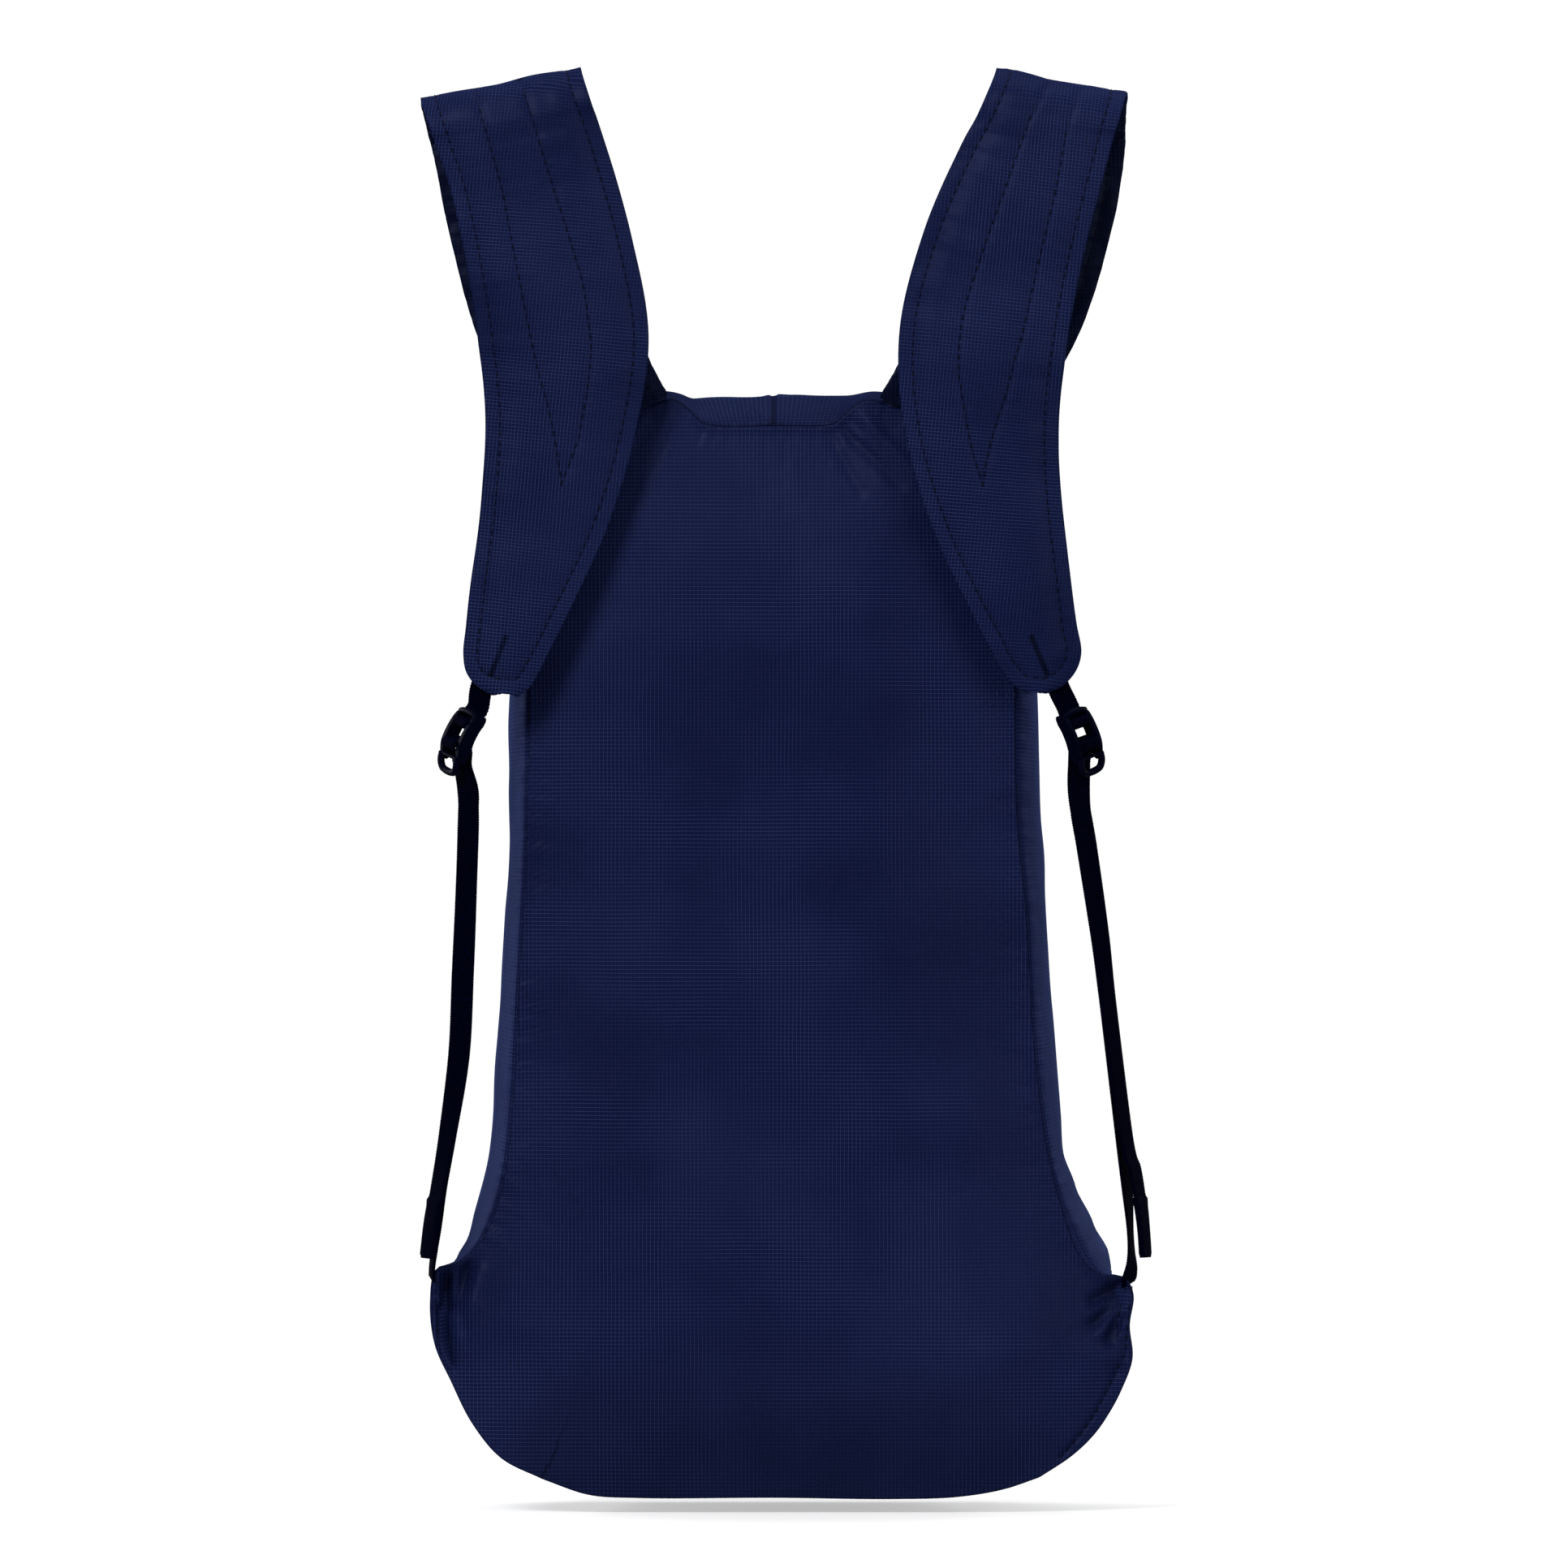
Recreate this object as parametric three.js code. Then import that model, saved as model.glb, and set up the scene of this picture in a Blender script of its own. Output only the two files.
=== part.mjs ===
// Ultralight frameless backpack, shown hanging by its shoulder straps.
// Millimetres, +Z up. The wearer's side faces -Y, the bag lies on +Y, X runs to the viewer's right.
import * as THREE from "three";

// Driving sizes
const bodyHeight = 480; // bag alone, bottom seam to top seam
const wingHalf = 150; // half width over the two lower wings
const bagDepth = 96; // back seam to front seam, low down
const topDepthShare = 0.72; // depth at the top, as a share of bagDepth
const backCrown = 9; // how far the back panel swells toward the wearer
const frontCrown = 30; // how far the front panel swells outward
const sideBulge = 9.5; // how far the side panels stand out past their seams
const topDrop = 24; // how far the top panel's crest falls toward its corners
const clothWall = 1.5; // modelled wall of the bag cloth
const seamGap = 0.35; // clearance between two pieces sewn edge to edge

const padThick = 5.2; // padded middle of a shoulder strap
const flangeThick = 2.2; // sewn-flat edge of a shoulder strap
const flangeShare = 0.82; // half width share at which the edge stitch runs
const crestRadius = 14; // bend of the strap over the shoulder, mid-surface
const crestY = -12; // middle between front and rear limb
const strapCup = 2.2; // strap edges curl toward the bag by this much

const webWidth = 10; // webbing
const webThick = 1.3;
const webGap = 0.3; // clearance of webbing to any neighbour
const hemThick = 2.8; // folded end of the free tail

const lockWidth = 17.5; // ladder lock frame
const lockLength = 29;
const lockThick = 3.6;
const lockWall = 2.6; // side walls of the frame
const barSize = 2; // cross bars of the frame
const lockEntry = lockLength / 2; // where webbing passes the lip of the frame
const lockInside = lockLength * 0.33; // where webbing passes between lip and middle bar

const cloth = new THREE.MeshStandardMaterial({ color: 0x252c52, roughness: 0.6 });
const strapCloth = new THREE.MeshStandardMaterial({ color: 0x2b3260, roughness: 0.65 });
const web = new THREE.MeshStandardMaterial({ color: 0x07081a, roughness: 0.8 });
const plastic = new THREE.MeshStandardMaterial({ color: 0x0a0c20, roughness: 0.45 });

// Seam outline of the back panel, four sides that meet at four corners.
// Columns: out as a share of wingHalf, up as a share of bodyHeight.
const seamLeft = [
  [-0.677, 0.018], [-0.798, 0.037], [-0.883, 0.069], [-0.944, 0.107], [-0.991, 0.140],
  [-1.005, 0.179], [-0.987, 0.209], [-0.925, 0.214], [-0.849, 0.238], [-0.786, 0.297],
  [-0.743, 0.478], [-0.720, 0.625], [-0.710, 0.792], [-0.703, 0.892], [-0.667, 0.942],
];
const seamRight = [
  [0.772, 0.020], [0.864, 0.039], [0.928, 0.058], [0.973, 0.078], [1.010, 0.100],
  [1.041, 0.128], [1.033, 0.158], [1.044, 0.186], [1.020, 0.201], [0.965, 0.203],
  [0.932, 0.206], [0.887, 0.221], [0.807, 0.296], [0.757, 0.400], [0.729, 0.536], [0.703, 0.625],
  [0.697, 0.792], [0.693, 0.892], [0.660, 0.942],
];
const seamBottom = [
  [-0.677, 0.018], [-0.545, 0.004], [-0.400, 0.001], [0.000, 0.001], [0.342, 0.000],
  [0.533, 0.002], [0.667, 0.009], [0.772, 0.020],
];
const seamTop = [
  [-0.667, 0.942], [-0.587, 0.964], [-0.493, 0.979], [-0.377, 0.993], [-0.293, 0.999],
  [-0.243, 0.988], [-0.208, 0.978], [0.000, 0.976], [0.175, 0.978], [0.192, 0.983],
  [0.241, 0.996], [0.273, 0.999], [0.353, 0.992], [0.480, 0.980], [0.580, 0.964],
  [0.660, 0.942],
];
// Seam outline of the hidden front panel, same columns.
const farLeft = [
  [-0.60, 0.022], [-0.70, 0.060], [-0.745, 0.130], [-0.760, 0.220], [-0.755, 0.400],
  [-0.725, 0.600], [-0.675, 0.800], [-0.640, 0.870], [-0.580, 0.905],
];
const farRight = [
  [0.61, 0.022], [0.71, 0.060], [0.755, 0.130], [0.770, 0.220], [0.760, 0.400],
  [0.725, 0.600], [0.675, 0.800], [0.640, 0.870], [0.580, 0.905],
];
const farBottom = [[-0.60, 0.022], [-0.40, 0.010], [0, 0.006], [0.40, 0.010], [0.61, 0.022]];
const farTop = [[-0.58, 0.905], [-0.38, 0.926], [0, 0.934], [0.38, 0.926], [0.58, 0.905]];

// Dents and swells of the back panel, from one point to another.
// Columns: out and up of the start, out and up of the end, half width in mm, height in mm.
const backFolds = [
  [-0.93, 0.205, -0.93, 0.105, 7, 3.2],
  [-0.90, 0.200, -0.72, 0.120, 9, 3.0],
  [-0.99, 0.170, -0.86, 0.160, 8, -2.2],
  [0.92, 0.200, 0.80, 0.150, 8, 3.4],
  [0.97, 0.195, 0.93, 0.130, 6, 2.6],
  [0.86, 0.180, 0.60, 0.110, 14, -2.4],
  [-0.62, 0.100, 0.10, 0.055, 22, -2.5],
  [-0.05, 0.930, -0.02, 0.560, 30, 2.5],
  [-0.60, 0.640, -0.50, 0.420, 26, 2.2],
  [0.52, 0.700, 0.62, 0.420, 26, 2.2],
];

// Shoulder straps. Columns: out and up of the outer edge, out and up of the inner edge, y in mm.
// Rows run from the seam on the bag up to the crest, then from the crest down to the tip.
const strapTables = {
  left: {
    side: -1,
    rear: [
      [0.657, 0.949, 0.309, 1.003, -1.2], [0.843, 1.040, 0.370, 1.040, 0.5],
      [0.944, 1.145, 0.473, 1.167, 1.8], [0.991, 1.217, 0.513, 1.238, 2],
    ],
    crest: [1.036, 1.2745, 0.569, 1.3015],
    front: [
      [0.990, 1.231, 0.509, 1.257, -26.6],
      [0.943, 1.183, 0.485, 1.223, -27], [0.895, 1.112, 0.414, 1.144, -26.5],
      [0.858, 1.046, 0.367, 1.055, -26], [0.839, 0.982, 0.405, 0.968, -25],
      [0.851, 0.909, 0.486, 0.883, -24], [0.881, 0.834, 0.595, 0.809, -23],
      [0.896, 0.793, 0.647, 0.776, -22], [0.904, 0.769, 0.664, 0.766, -21.5],
      [0.895, 0.752, 0.689, 0.751, -21], [0.867, 0.741, 0.713, 0.739, -21],
      [0.817, 0.733, 0.750, 0.731, -21],
    ],
  },
  right: {
    side: 1,
    rear: [
      [0.652, 0.949, 0.305, 1.003, -1.2], [0.873, 1.052, 0.369, 1.040, 0.5],
      [0.984, 1.160, 0.495, 1.192, 1.8], [1.018, 1.225, 0.530, 1.243, 2],
    ],
    crest: [1.024, 1.2785, 0.628, 1.2995],
    front: [
      [0.983, 1.2375, 0.550, 1.250, -26.6],
      [0.936, 1.182, 0.525, 1.225, -27], [0.879, 1.107, 0.433, 1.152, -26.5],
      [0.842, 1.039, 0.361, 1.061, -26], [0.823, 0.978, 0.378, 0.968, -25],
      [0.830, 0.909, 0.463, 0.878, -24], [0.859, 0.832, 0.569, 0.807, -23],
      [0.873, 0.796, 0.631, 0.770, -22], [0.887, 0.770, 0.640, 0.763, -21.5],
      [0.873, 0.754, 0.659, 0.754, -21], [0.838, 0.741, 0.696, 0.740, -21],
      [0.787, 0.733, 0.733, 0.733, -21],
    ],
  },
};

// Ladder locks: middle of the frame as out and up shares, y in mm, then lean and swing in degrees.
const lockPlaces = {
  left: { side: -1, out: 0.916, up: 0.689, y: -19, lean: 24, swing: 44 },
  right: { side: 1, out: 0.892, up: 0.689, y: -19, lean: 20, swing: 44 },
};
// Webbing below each lock. Columns: out share, up share, y in mm, turn about its own run in degrees.
// The main run climbs from the wing to the lock, the tail hangs from the lock in front of it.
const webRuns = {
  left: {
    main: [
      [0.998, 0.2125, -3, 35], [0.990, 0.228, -4, 62], [0.981, 0.250, -5, 66],
      [0.972, 0.285, -6, 58], [0.952, 0.330, -7.5, 42], [0.918, 0.404, -9.5, 24],
      [0.907, 0.478, -11.5, 18], [0.897, 0.552, -13.5, 24], [0.891, 0.620, -15, 26],
      [0.889, 0.644, -15, 32],
    ],
    tail: [
      [0.890, 0.618, -19.5, 26], [0.897, 0.552, -17.5, 24],
      [0.907, 0.478, -15.5, 18], [0.919, 0.404, -13.5, 24], [0.953, 0.330, -12, 42],
      [0.982, 0.279, -12, 52], [0.996, 0.252, -12.5, 50], [1.008, 0.2195, -13, 50],
    ],
  },
  right: {
    main: [
      [1.032, 0.2005, -3, 35], [1.036, 0.219, -4, 70], [1.033, 0.245, -5, 74],
      [1.024, 0.285, -6, 62], [1.010, 0.330, -7.5, 53], [0.965, 0.456, -10, 45],
      [0.943, 0.515, -12, 38], [0.904, 0.596, -14.5, 28], [0.880, 0.640, -15, 30],
    ],
    tail: [
      [0.886, 0.620, -19.5, 28], [0.904, 0.594, -18.5, 28], [0.943, 0.513, -17, 36],
      [0.966, 0.454, -15, 45], [1.020, 0.330, -12.5, 55], [1.046, 0.300, -12, 58],
      [1.062, 0.270, -12, 62], [1.071, 0.245, -12.5, 66], [1.076, 0.2205, -13, 66],
    ],
  },
};

const clamp01 = (v) => Math.min(1, Math.max(0, v));
const smooth = (v) => { const c = clamp01(v); return c * c * (3 - 2 * c); };
const vec = (x, y, z) => new THREE.Vector3(x, y, z);

// Curve through table rows in the X-Z plane.
function outline(rows) {
  const points = rows.map(([out, up]) => vec(out * wingHalf, 0, up * bodyHeight));
  return new THREE.CatmullRomCurve3(points, false, "centripetal");
}
// Smooth value through evenly spaced vectors.
function through(points, share) {
  return new THREE.CatmullRomCurve3(points, false, "catmullrom", 0.5).getPoint(clamp01(share));
}

const near = {
  left: outline(seamLeft), right: outline(seamRight),
  bottom: outline(seamBottom), top: outline(seamTop),
};
const far = {
  left: outline(farLeft), right: outline(farRight),
  bottom: outline(farBottom), top: outline(farTop),
};

// Depth of the front seam at a height.
function depthAt(z) {
  return bagDepth * (1 - (1 - topDepthShare) * smooth((z / bodyHeight - 0.35) / 0.6));
}

// Closed solid around a grid of points: thickness is laid half to each side.
function sheetSolid(grid, thickAt) {
  const rows = grid.length, columns = grid[0].length;
  const positions = [], indices = [];
  const at = (i, j) => grid[Math.min(rows - 1, Math.max(0, i))][Math.min(columns - 1, Math.max(0, j))];
  for (const half of [0.5, -0.5]) {
    for (let i = 0; i < rows; i++) {
      for (let j = 0; j < columns; j++) {
        const along = at(i + 1, j).clone().sub(at(i - 1, j));
        const across = at(i, j + 1).clone().sub(at(i, j - 1));
        const normal = along.cross(across).normalize();
        const p = grid[i][j].clone().addScaledVector(normal, half * thickAt(i, j));
        positions.push(p.x, p.y, p.z);
      }
    }
  }
  const size = rows * columns;
  const id = (side, i, j) => side * size + i * columns + j;
  const quad = (a, b, c, d) => indices.push(a, b, c, a, c, d);
  for (let i = 0; i < rows - 1; i++) {
    for (let j = 0; j < columns - 1; j++) {
      quad(id(0, i, j), id(0, i + 1, j), id(0, i + 1, j + 1), id(0, i, j + 1));
      quad(id(1, i, j), id(1, i, j + 1), id(1, i + 1, j + 1), id(1, i + 1, j));
    }
  }
  const rim = [];
  for (let j = 0; j < columns - 1; j++) rim.push([0, j]);
  for (let i = 0; i < rows - 1; i++) rim.push([i, columns - 1]);
  for (let j = columns - 1; j > 0; j--) rim.push([rows - 1, j]);
  for (let i = rows - 1; i > 0; i--) rim.push([i, 0]);
  rim.forEach(([i, j], k) => {
    const [ni, nj] = rim[(k + 1) % rim.length];
    quad(id(0, i, j), id(0, ni, nj), id(1, ni, nj), id(1, i, j));
  });
  const geometry = new THREE.BufferGeometry();
  geometry.setAttribute("position", new THREE.Float32BufferAttribute(positions, 3));
  geometry.setIndex(indices);
  return outward(geometry);
}

// Turns the faces outward.
function outward(geometry) {
  const p = geometry.attributes.position, index = geometry.index.array;
  let volume = 0;
  for (let k = 0; k < index.length; k += 3) {
    const [a, b, c] = [0, 1, 2].map((n) => vec().fromBufferAttribute(p, index[k + n]));
    volume += a.dot(b.cross(c));
  }
  if (volume < 0) {
    for (let k = 0; k < index.length; k += 3) {
      [index[k + 1], index[k + 2]] = [index[k + 2], index[k + 1]];
    }
  }
  return geometry;
}

// Four-sided patch between two upright sides and two level sides.
function patch(sides, s, t) {
  const l = sides.left.getPointAt(t), r = sides.right.getPointAt(t);
  const b = sides.bottom.getPointAt(s), h = sides.top.getPointAt(s);
  const p = l.multiplyScalar(1 - s).addScaledVector(r, s);
  p.addScaledVector(b, 1 - t).addScaledVector(h, t);
  const corners = [
    [sides.bottom.getPointAt(0), (1 - s) * (1 - t)], [sides.bottom.getPointAt(1), s * (1 - t)],
    [sides.top.getPointAt(0), (1 - s) * t], [sides.top.getPointAt(1), s * t],
  ];
  for (const [corner, share] of corners) p.addScaledVector(corner, -share);
  return p;
}
// Pillow shape over a patch: 0 at the edges, 1 in the middle.
const pillow = (s, t, power) =>
  (1 - Math.abs(2 * s - 1) ** power) * (1 - Math.abs(2 * t - 1) ** power);

function foldAt(p, folds) {
  let height = 0;
  for (const [x0, z0, x1, z1, wide, high] of folds) {
    const a = vec(x0 * wingHalf, 0, z0 * bodyHeight), b = vec(x1 * wingHalf, 0, z1 * bodyHeight);
    const q = vec(p.x, 0, p.z), line = new THREE.Line3(a, b);
    const share = line.closestPointToPointParameter(q, true);
    const off = line.at(share, vec()).distanceTo(q) / wide;
    height += high * Math.exp(-off * off) * (0.35 + 0.65 * Math.sin(Math.PI * (0.15 + 0.7 * share)));
  }
  return height;
}

// Grid shares that crowd toward both ends.
const crowded = (k, count) => {
  const s = k / count;
  return s + 0.55 * (0.5 - 0.5 * Math.cos(Math.PI * s) - s);
};

function backPanel(columns = 20, rows = 28) {
  const grid = [];
  for (let i = 0; i <= rows; i++) {
    const t = crowded(i, rows), row = [];
    for (let j = 0; j <= columns; j++) {
      const s = crowded(j, columns);
      const p = patch(near, s, t);
      const edge = smooth(Math.min(s, 1 - s, t, 1 - t) / 0.06);
      p.y = -backCrown * pillow(s, t, 3) + foldAt(p, backFolds) * edge;
      row.push(p);
    }
    grid.push(row);
  }
  return sheetSolid(grid, () => clothWall);
}

function frontPanel(columns = 14, rows = 18) {
  const grid = [];
  for (let i = 0; i <= rows; i++) {
    const t = i / rows, row = [];
    for (let j = 0; j <= columns; j++) {
      const s = j / columns;
      const p = patch(far, s, t);
      p.y = depthAt(p.z) + frontCrown * pillow(s, t, 2.2);
      row.push(p);
    }
    grid.push(row);
  }
  return sheetSolid(grid, () => clothWall);
}

// Panels that bridge the back seam and the front seam.
// bulge is how far they stand out in mm, pinch draws the lower wings thin.
// Columns of the swell tables: share along the seam, share of sideBulge.
const swellLeft = [
  [0, 0], [0.235, 0], [0.265, 0.9], [0.30, 1.15], [0.37, 0.9], [0.50, 0.64], [0.66, 0.65],
  [0.77, 1.05], [0.85, 1], [1, 1],
];
const swellRight = [
  [0, 0], [0.225, 0], [0.25, 0.9], [0.285, 1.75], [0.33, 1.3], [0.40, 0.95], [0.54, 0.74],
  [0.66, 0.92], [0.77, 1.08], [0.85, 1], [1, 1],
];
function readTable(rows, share) {
  const k = Math.max(1, rows.findIndex(([at]) => at >= share));
  const [a, low] = rows[k - 1], [b, high] = rows[k];
  return low + (high - low) * smooth((share - a) / (b - a));
}
const wingPinch = (t) => 1 - smooth((t - 0.2) / 0.05);
// The top panel rises to the level of the top silhouette, then falls toward its corners.
const topLevel = 1.0035 * bodyHeight, topLevelHalf = 0.31 * wingHalf;
function topSwell(t) {
  const b = near.top.getPointAt(t), f = far.top.getPointAt(t);
  const level = b.z + (f.z - b.z) * 0.35;
  const crest = topLevel - topDrop * smooth((Math.abs(b.x) - topLevelHalf) / (0.36 * wingHalf));
  const rise = (crest - level) / (0.97 * outFrom(b).z);
  return sideBulge + (rise - sideBulge) * smooth(Math.min(t, 1 - t) / 0.22);
}
const gussetShapes = {
  left: { bulge: (t) => sideBulge * readTable(swellLeft, t), pinch: wingPinch },
  right: { bulge: (t) => sideBulge * readTable(swellRight, t), pinch: wingPinch },
  bottom: { bulge: () => 0, pinch: () => 0.25 },
  top: { bulge: topSwell, pinch: () => 0 },
};
const mouthDrop = 15; // how far the top panel's hem stays short of the front panel
const cornerTrim = clothWall / 2 + 2 * seamGap; // panels end this far from their common corner
const mouthHalf = 0.40; // half width of the mouth as a share of the top seam

// A panel that leans against the back panel starts further from it, by half its wall.
const leanRoom = clothWall / 2;

// Outward direction at a seam point, from an upright line inside the bag.
function outFrom(p) {
  const inside = vec(0, 0, Math.min(Math.max(p.z, 0.12 * bodyHeight), 0.81 * bodyHeight));
  return vec(p.x, 0, p.z).sub(inside).normalize();
}

function gussetPoint(name, t, v) {
  const shape = gussetShapes[name];
  const b = near[name].getPointAt(t), f = far[name].getPointAt(t);
  const inset = clothWall / 2;
  const out = outFrom(b), farOut = outFrom(f);
  b.y = clothWall / 2 + seamGap + leanRoom * (0.35 + shape.pinch(t));
  f.y = depthAt(f.z) - clothWall / 2 - seamGap - leanRoom * 0.5;
  b.addScaledVector(out, -inset);
  f.addScaledVector(farOut, -inset);
  const power = 1 + 3.2 * shape.pinch(t);
  const w = 1 - (1 - v) ** power;
  const p = vec(b.x + (f.x - b.x) * w, b.y + (f.y - b.y) * v, b.z + (f.z - b.z) * w);
  return p.addScaledVector(out, shape.bulge(t) * Math.sin(Math.PI * v ** 0.8));
}

function gusset(name, columns, rows) {
  const length = near[name].getLength();
  const trim = cornerTrim / length;
  const grid = [];
  for (let i = 0; i <= columns; i++) {
    const t = trim + (1 - 2 * trim) * (i / columns);
    const row = [];
    for (let j = 0; j <= rows; j++) {
      let v = j / rows;
      if (name === "top") {
        const open = smooth((mouthHalf - Math.abs(t - 0.5)) / 0.14);
        v *= 1 - (mouthDrop / (bagDepth * topDepthShare)) * open;
      }
      row.push(gussetPoint(name, t, v));
    }
    grid.push(row);
  }
  return sheetSolid(grid, () => clothWall);
}

// Width stations of a strap and the thickness at each.
const widthShares = [-1, -flangeShare, -0.62, -0.22, 0.22, 0.62, flangeShare, 1];
const strapThick = (w) => {
  const in0 = clamp01((flangeShare - Math.abs(w)) / (flangeShare - 0.62));
  return flangeThick + (padThick - flangeThick) * smooth(in0);
};

function strapRows(table) {
  const rows = [];
  const edgeRow = ([outerX, outerZ, innerX, innerZ], y, cup) => widthShares.map((w) => {
    const k = (w + 1) / 2;
    const x = table.side * wingHalf * (outerX + (innerX - outerX) * k);
    const z = bodyHeight * (outerZ + (innerZ - outerZ) * k);
    return vec(x, y + cup * w * w, z);
  });
  const [base, ...climbs] = table.rear;
  const seamTopSpot = (x) => {
    let best = null;
    for (let k = 0; k <= 200; k++) {
      const p = near.top.getPointAt(k / 200);
      if (!best || Math.abs(p.x - x) < Math.abs(best.x - x)) best = p;
    }
    return best.z;
  };
  const foot = edgeRow(base, base[4], 0);
  for (const p of foot) p.z = Math.max(p.z, seamTopSpot(p.x) + seamGap + 0.5);
  rows.push(foot);
  for (const row of climbs) rows.push(edgeRow(row, row[4], 0));
  // Over the shoulder the edges keep to the outline of the limb they lead to.
  const top = crestRadius + padThick / 2;
  for (let k = 0; k <= 6; k++) {
    const angle = Math.PI * (k / 6);
    const limb = k < 3 ? table.rear.at(-1) : table.front[0];
    const drop = (top - crestRadius * Math.sin(angle)) / bodyHeight;
    const edge = table.crest.slice();
    for (const at of [0, 2]) {
      const share = drop / (table.crest[at + 1] - limb[at + 1]);
      edge[at] += (limb[at] - table.crest[at]) * share;
      edge[at + 1] -= drop;
    }
    rows.push(edgeRow(edge, crestY + crestRadius * Math.cos(angle), 0));
  }
  for (const row of table.front) rows.push(edgeRow(row, row[4], strapCup));
  return rows;
}

function shoulderStrap(table) {
  const rows = strapRows(table);
  const count = 2 * (rows.length - 1);
  const grid = [];
  for (let i = 0; i <= count; i++) {
    grid.push(widthShares.map((_, j) => through(rows.map((row) => row[j]), i / count)));
  }
  const taper = (i) => Math.min(smooth((i + 1) / 5), smooth((count + 1 - i) / 5));
  return sheetSolid(grid, (i, j) => {
    const full = strapThick(widthShares[j]);
    return flangeThick + (full - flangeThick) * taper(i);
  });
}

// Frame of a ladder lock: across, thickness and long axis as unit vectors.
function lockFrame(place) {
  const swing = THREE.MathUtils.degToRad(place.swing) * -place.side;
  const lean = THREE.MathUtils.degToRad(place.lean) * place.side;
  const up = vec(-Math.sin(lean), 0, Math.cos(lean));
  const across = vec(Math.cos(swing), -Math.sin(swing), 0);
  across.addScaledVector(up, -across.dot(up)).normalize();
  const thick = up.clone().cross(across);
  const origin = vec(place.side * place.out * wingHalf, place.y, place.up * bodyHeight);
  return new THREE.Matrix4().makeBasis(across, thick, up).setPosition(origin);
}
// Heights of the cross bars along the frame, from the lip to the top edge.
const barHeights = { lip: -12.6, middle: -1.6, anchor: 7.2, edge: 13.2 };

function ladderLock(place) {
  const w = lockWidth / 2, l = lockLength / 2, cut = 4.2;
  const shape = new THREE.Shape();
  shape.moveTo(-w + cut, -l);
  shape.lineTo(w - cut, -l); shape.lineTo(w, -l + 2 * cut); shape.lineTo(w, l - cut);
  shape.lineTo(w - cut * 0.7, l); shape.lineTo(-w + cut * 0.7, l); shape.lineTo(-w, l - cut);
  shape.lineTo(-w, -l + 2 * cut); shape.closePath();
  const inner = w - lockWall;
  const bars = Object.values(barHeights);
  for (let k = 0; k < bars.length - 1; k++) {
    const low = bars[k] + barSize / 2 + (k === 0 ? 0.9 : 0), high = bars[k + 1] - barSize / 2;
    const narrow = k === 0 ? 1.6 : 0;
    const hole = new THREE.Path();
    hole.moveTo(-inner + narrow, low); hole.lineTo(-inner, low + 2 * narrow + 0.01);
    hole.lineTo(-inner, high); hole.lineTo(inner, high);
    hole.lineTo(inner, low + 2 * narrow + 0.01); hole.lineTo(inner - narrow, low);
    hole.closePath();
    shape.holes.push(hole);
  }
  const geometry = new THREE.ExtrudeGeometry(shape, { depth: lockThick, bevelEnabled: false, steps: 1 });
  geometry.translate(0, 0, -lockThick / 2);
  // The shape's own up runs along the frame's long axis, its depth along the thickness.
  geometry.applyMatrix4(new THREE.Matrix4().makeBasis(vec(1, 0, 0), vec(0, 0, 1), vec(0, -1, 0)));
  geometry.applyMatrix4(lockFrame(place));
  return geometry;
}

// Ribbon with a rectangular section. Stations: {p, turn} or {p, across}.
function ribbon(stations, thickAt, width = webWidth) {
  const grid = stations.map(({ p, across }) => [-0.5, 0.5].map((k) =>
    p.clone().addScaledVector(across, k * width)));
  return sheetSolid(grid, thickAt ?? (() => webThick));
}
function runKeys(rows, side) {
  return rows.map(([out, up, y, degrees]) => {
    const turn = THREE.MathUtils.degToRad(degrees);
    return {
      p: vec(side * out * wingHalf, y, up * bodyHeight),
      across: vec(Math.cos(turn), side * Math.sin(turn), 0),
    };
  });
}
// Path in the frame of a lock: rows of thickness-wise, long-wise and sideways millimetres.
function lockStations(place, rows) {
  const frame = lockFrame(place);
  const across = vec().setFromMatrixColumn(frame, 0);
  return rows.map(([y, z, x = 0]) => ({
    p: vec(-place.side * x, y, z).applyMatrix4(frame), across: across.clone(),
  }));
}
// Evenly smoothed stations, each key giving a few.
function smoothStations(keys, each) {
  const count = (keys.length - 1) * each, stations = [];
  for (let k = 0; k <= count; k++) {
    const p = through(keys.map((key) => key.p), k / count);
    const across = through(keys.map((key) => key.across), k / count).normalize();
    stations.push({ p, across });
  }
  return stations;
}
// Half turn of webbing around a bar of the lock, from the far side to the near side.
function barWrap(height, fromDeg, toDeg, steps) {
  const radius = Math.hypot(barSize / 2, lockThick / 2) + webGap + webThick / 2;
  const rows = [];
  for (let k = 0; k <= steps; k++) {
    const a = THREE.MathUtils.degToRad(fromDeg + (toDeg - fromDeg) * (k / steps));
    rows.push([radius * Math.cos(a), height + radius * Math.sin(a)]);
  }
  return rows;
}

function adjusterWebbing(side) {
  const place = lockPlaces[side], runs = webRuns[side];
  const lip = lockThick / 2 + webGap + webThick / 2;
  const turn = lockStations(place, [
    [lip + 1.4, -lockEntry, 4.4], [lip + 0.6, -lockInside, 1.8],
    ...barWrap(barHeights.middle, -15, 195, 6),
    [-lip - 0.5, -lockInside, 1.8], [-lip - 0.6, -lockEntry, 4], [-lip + 0.4, -lockEntry * 1.28, 6.2],
  ]);
  const keys = [...runKeys(runs.main, place.side), ...turn, ...runKeys(runs.tail, place.side)];
  const stations = smoothStations(keys, 2);
  const last = stations.length - 1;
  return ribbon(stations, (i) => (i > last - 3 ? hemThick : webThick));
}

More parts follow.
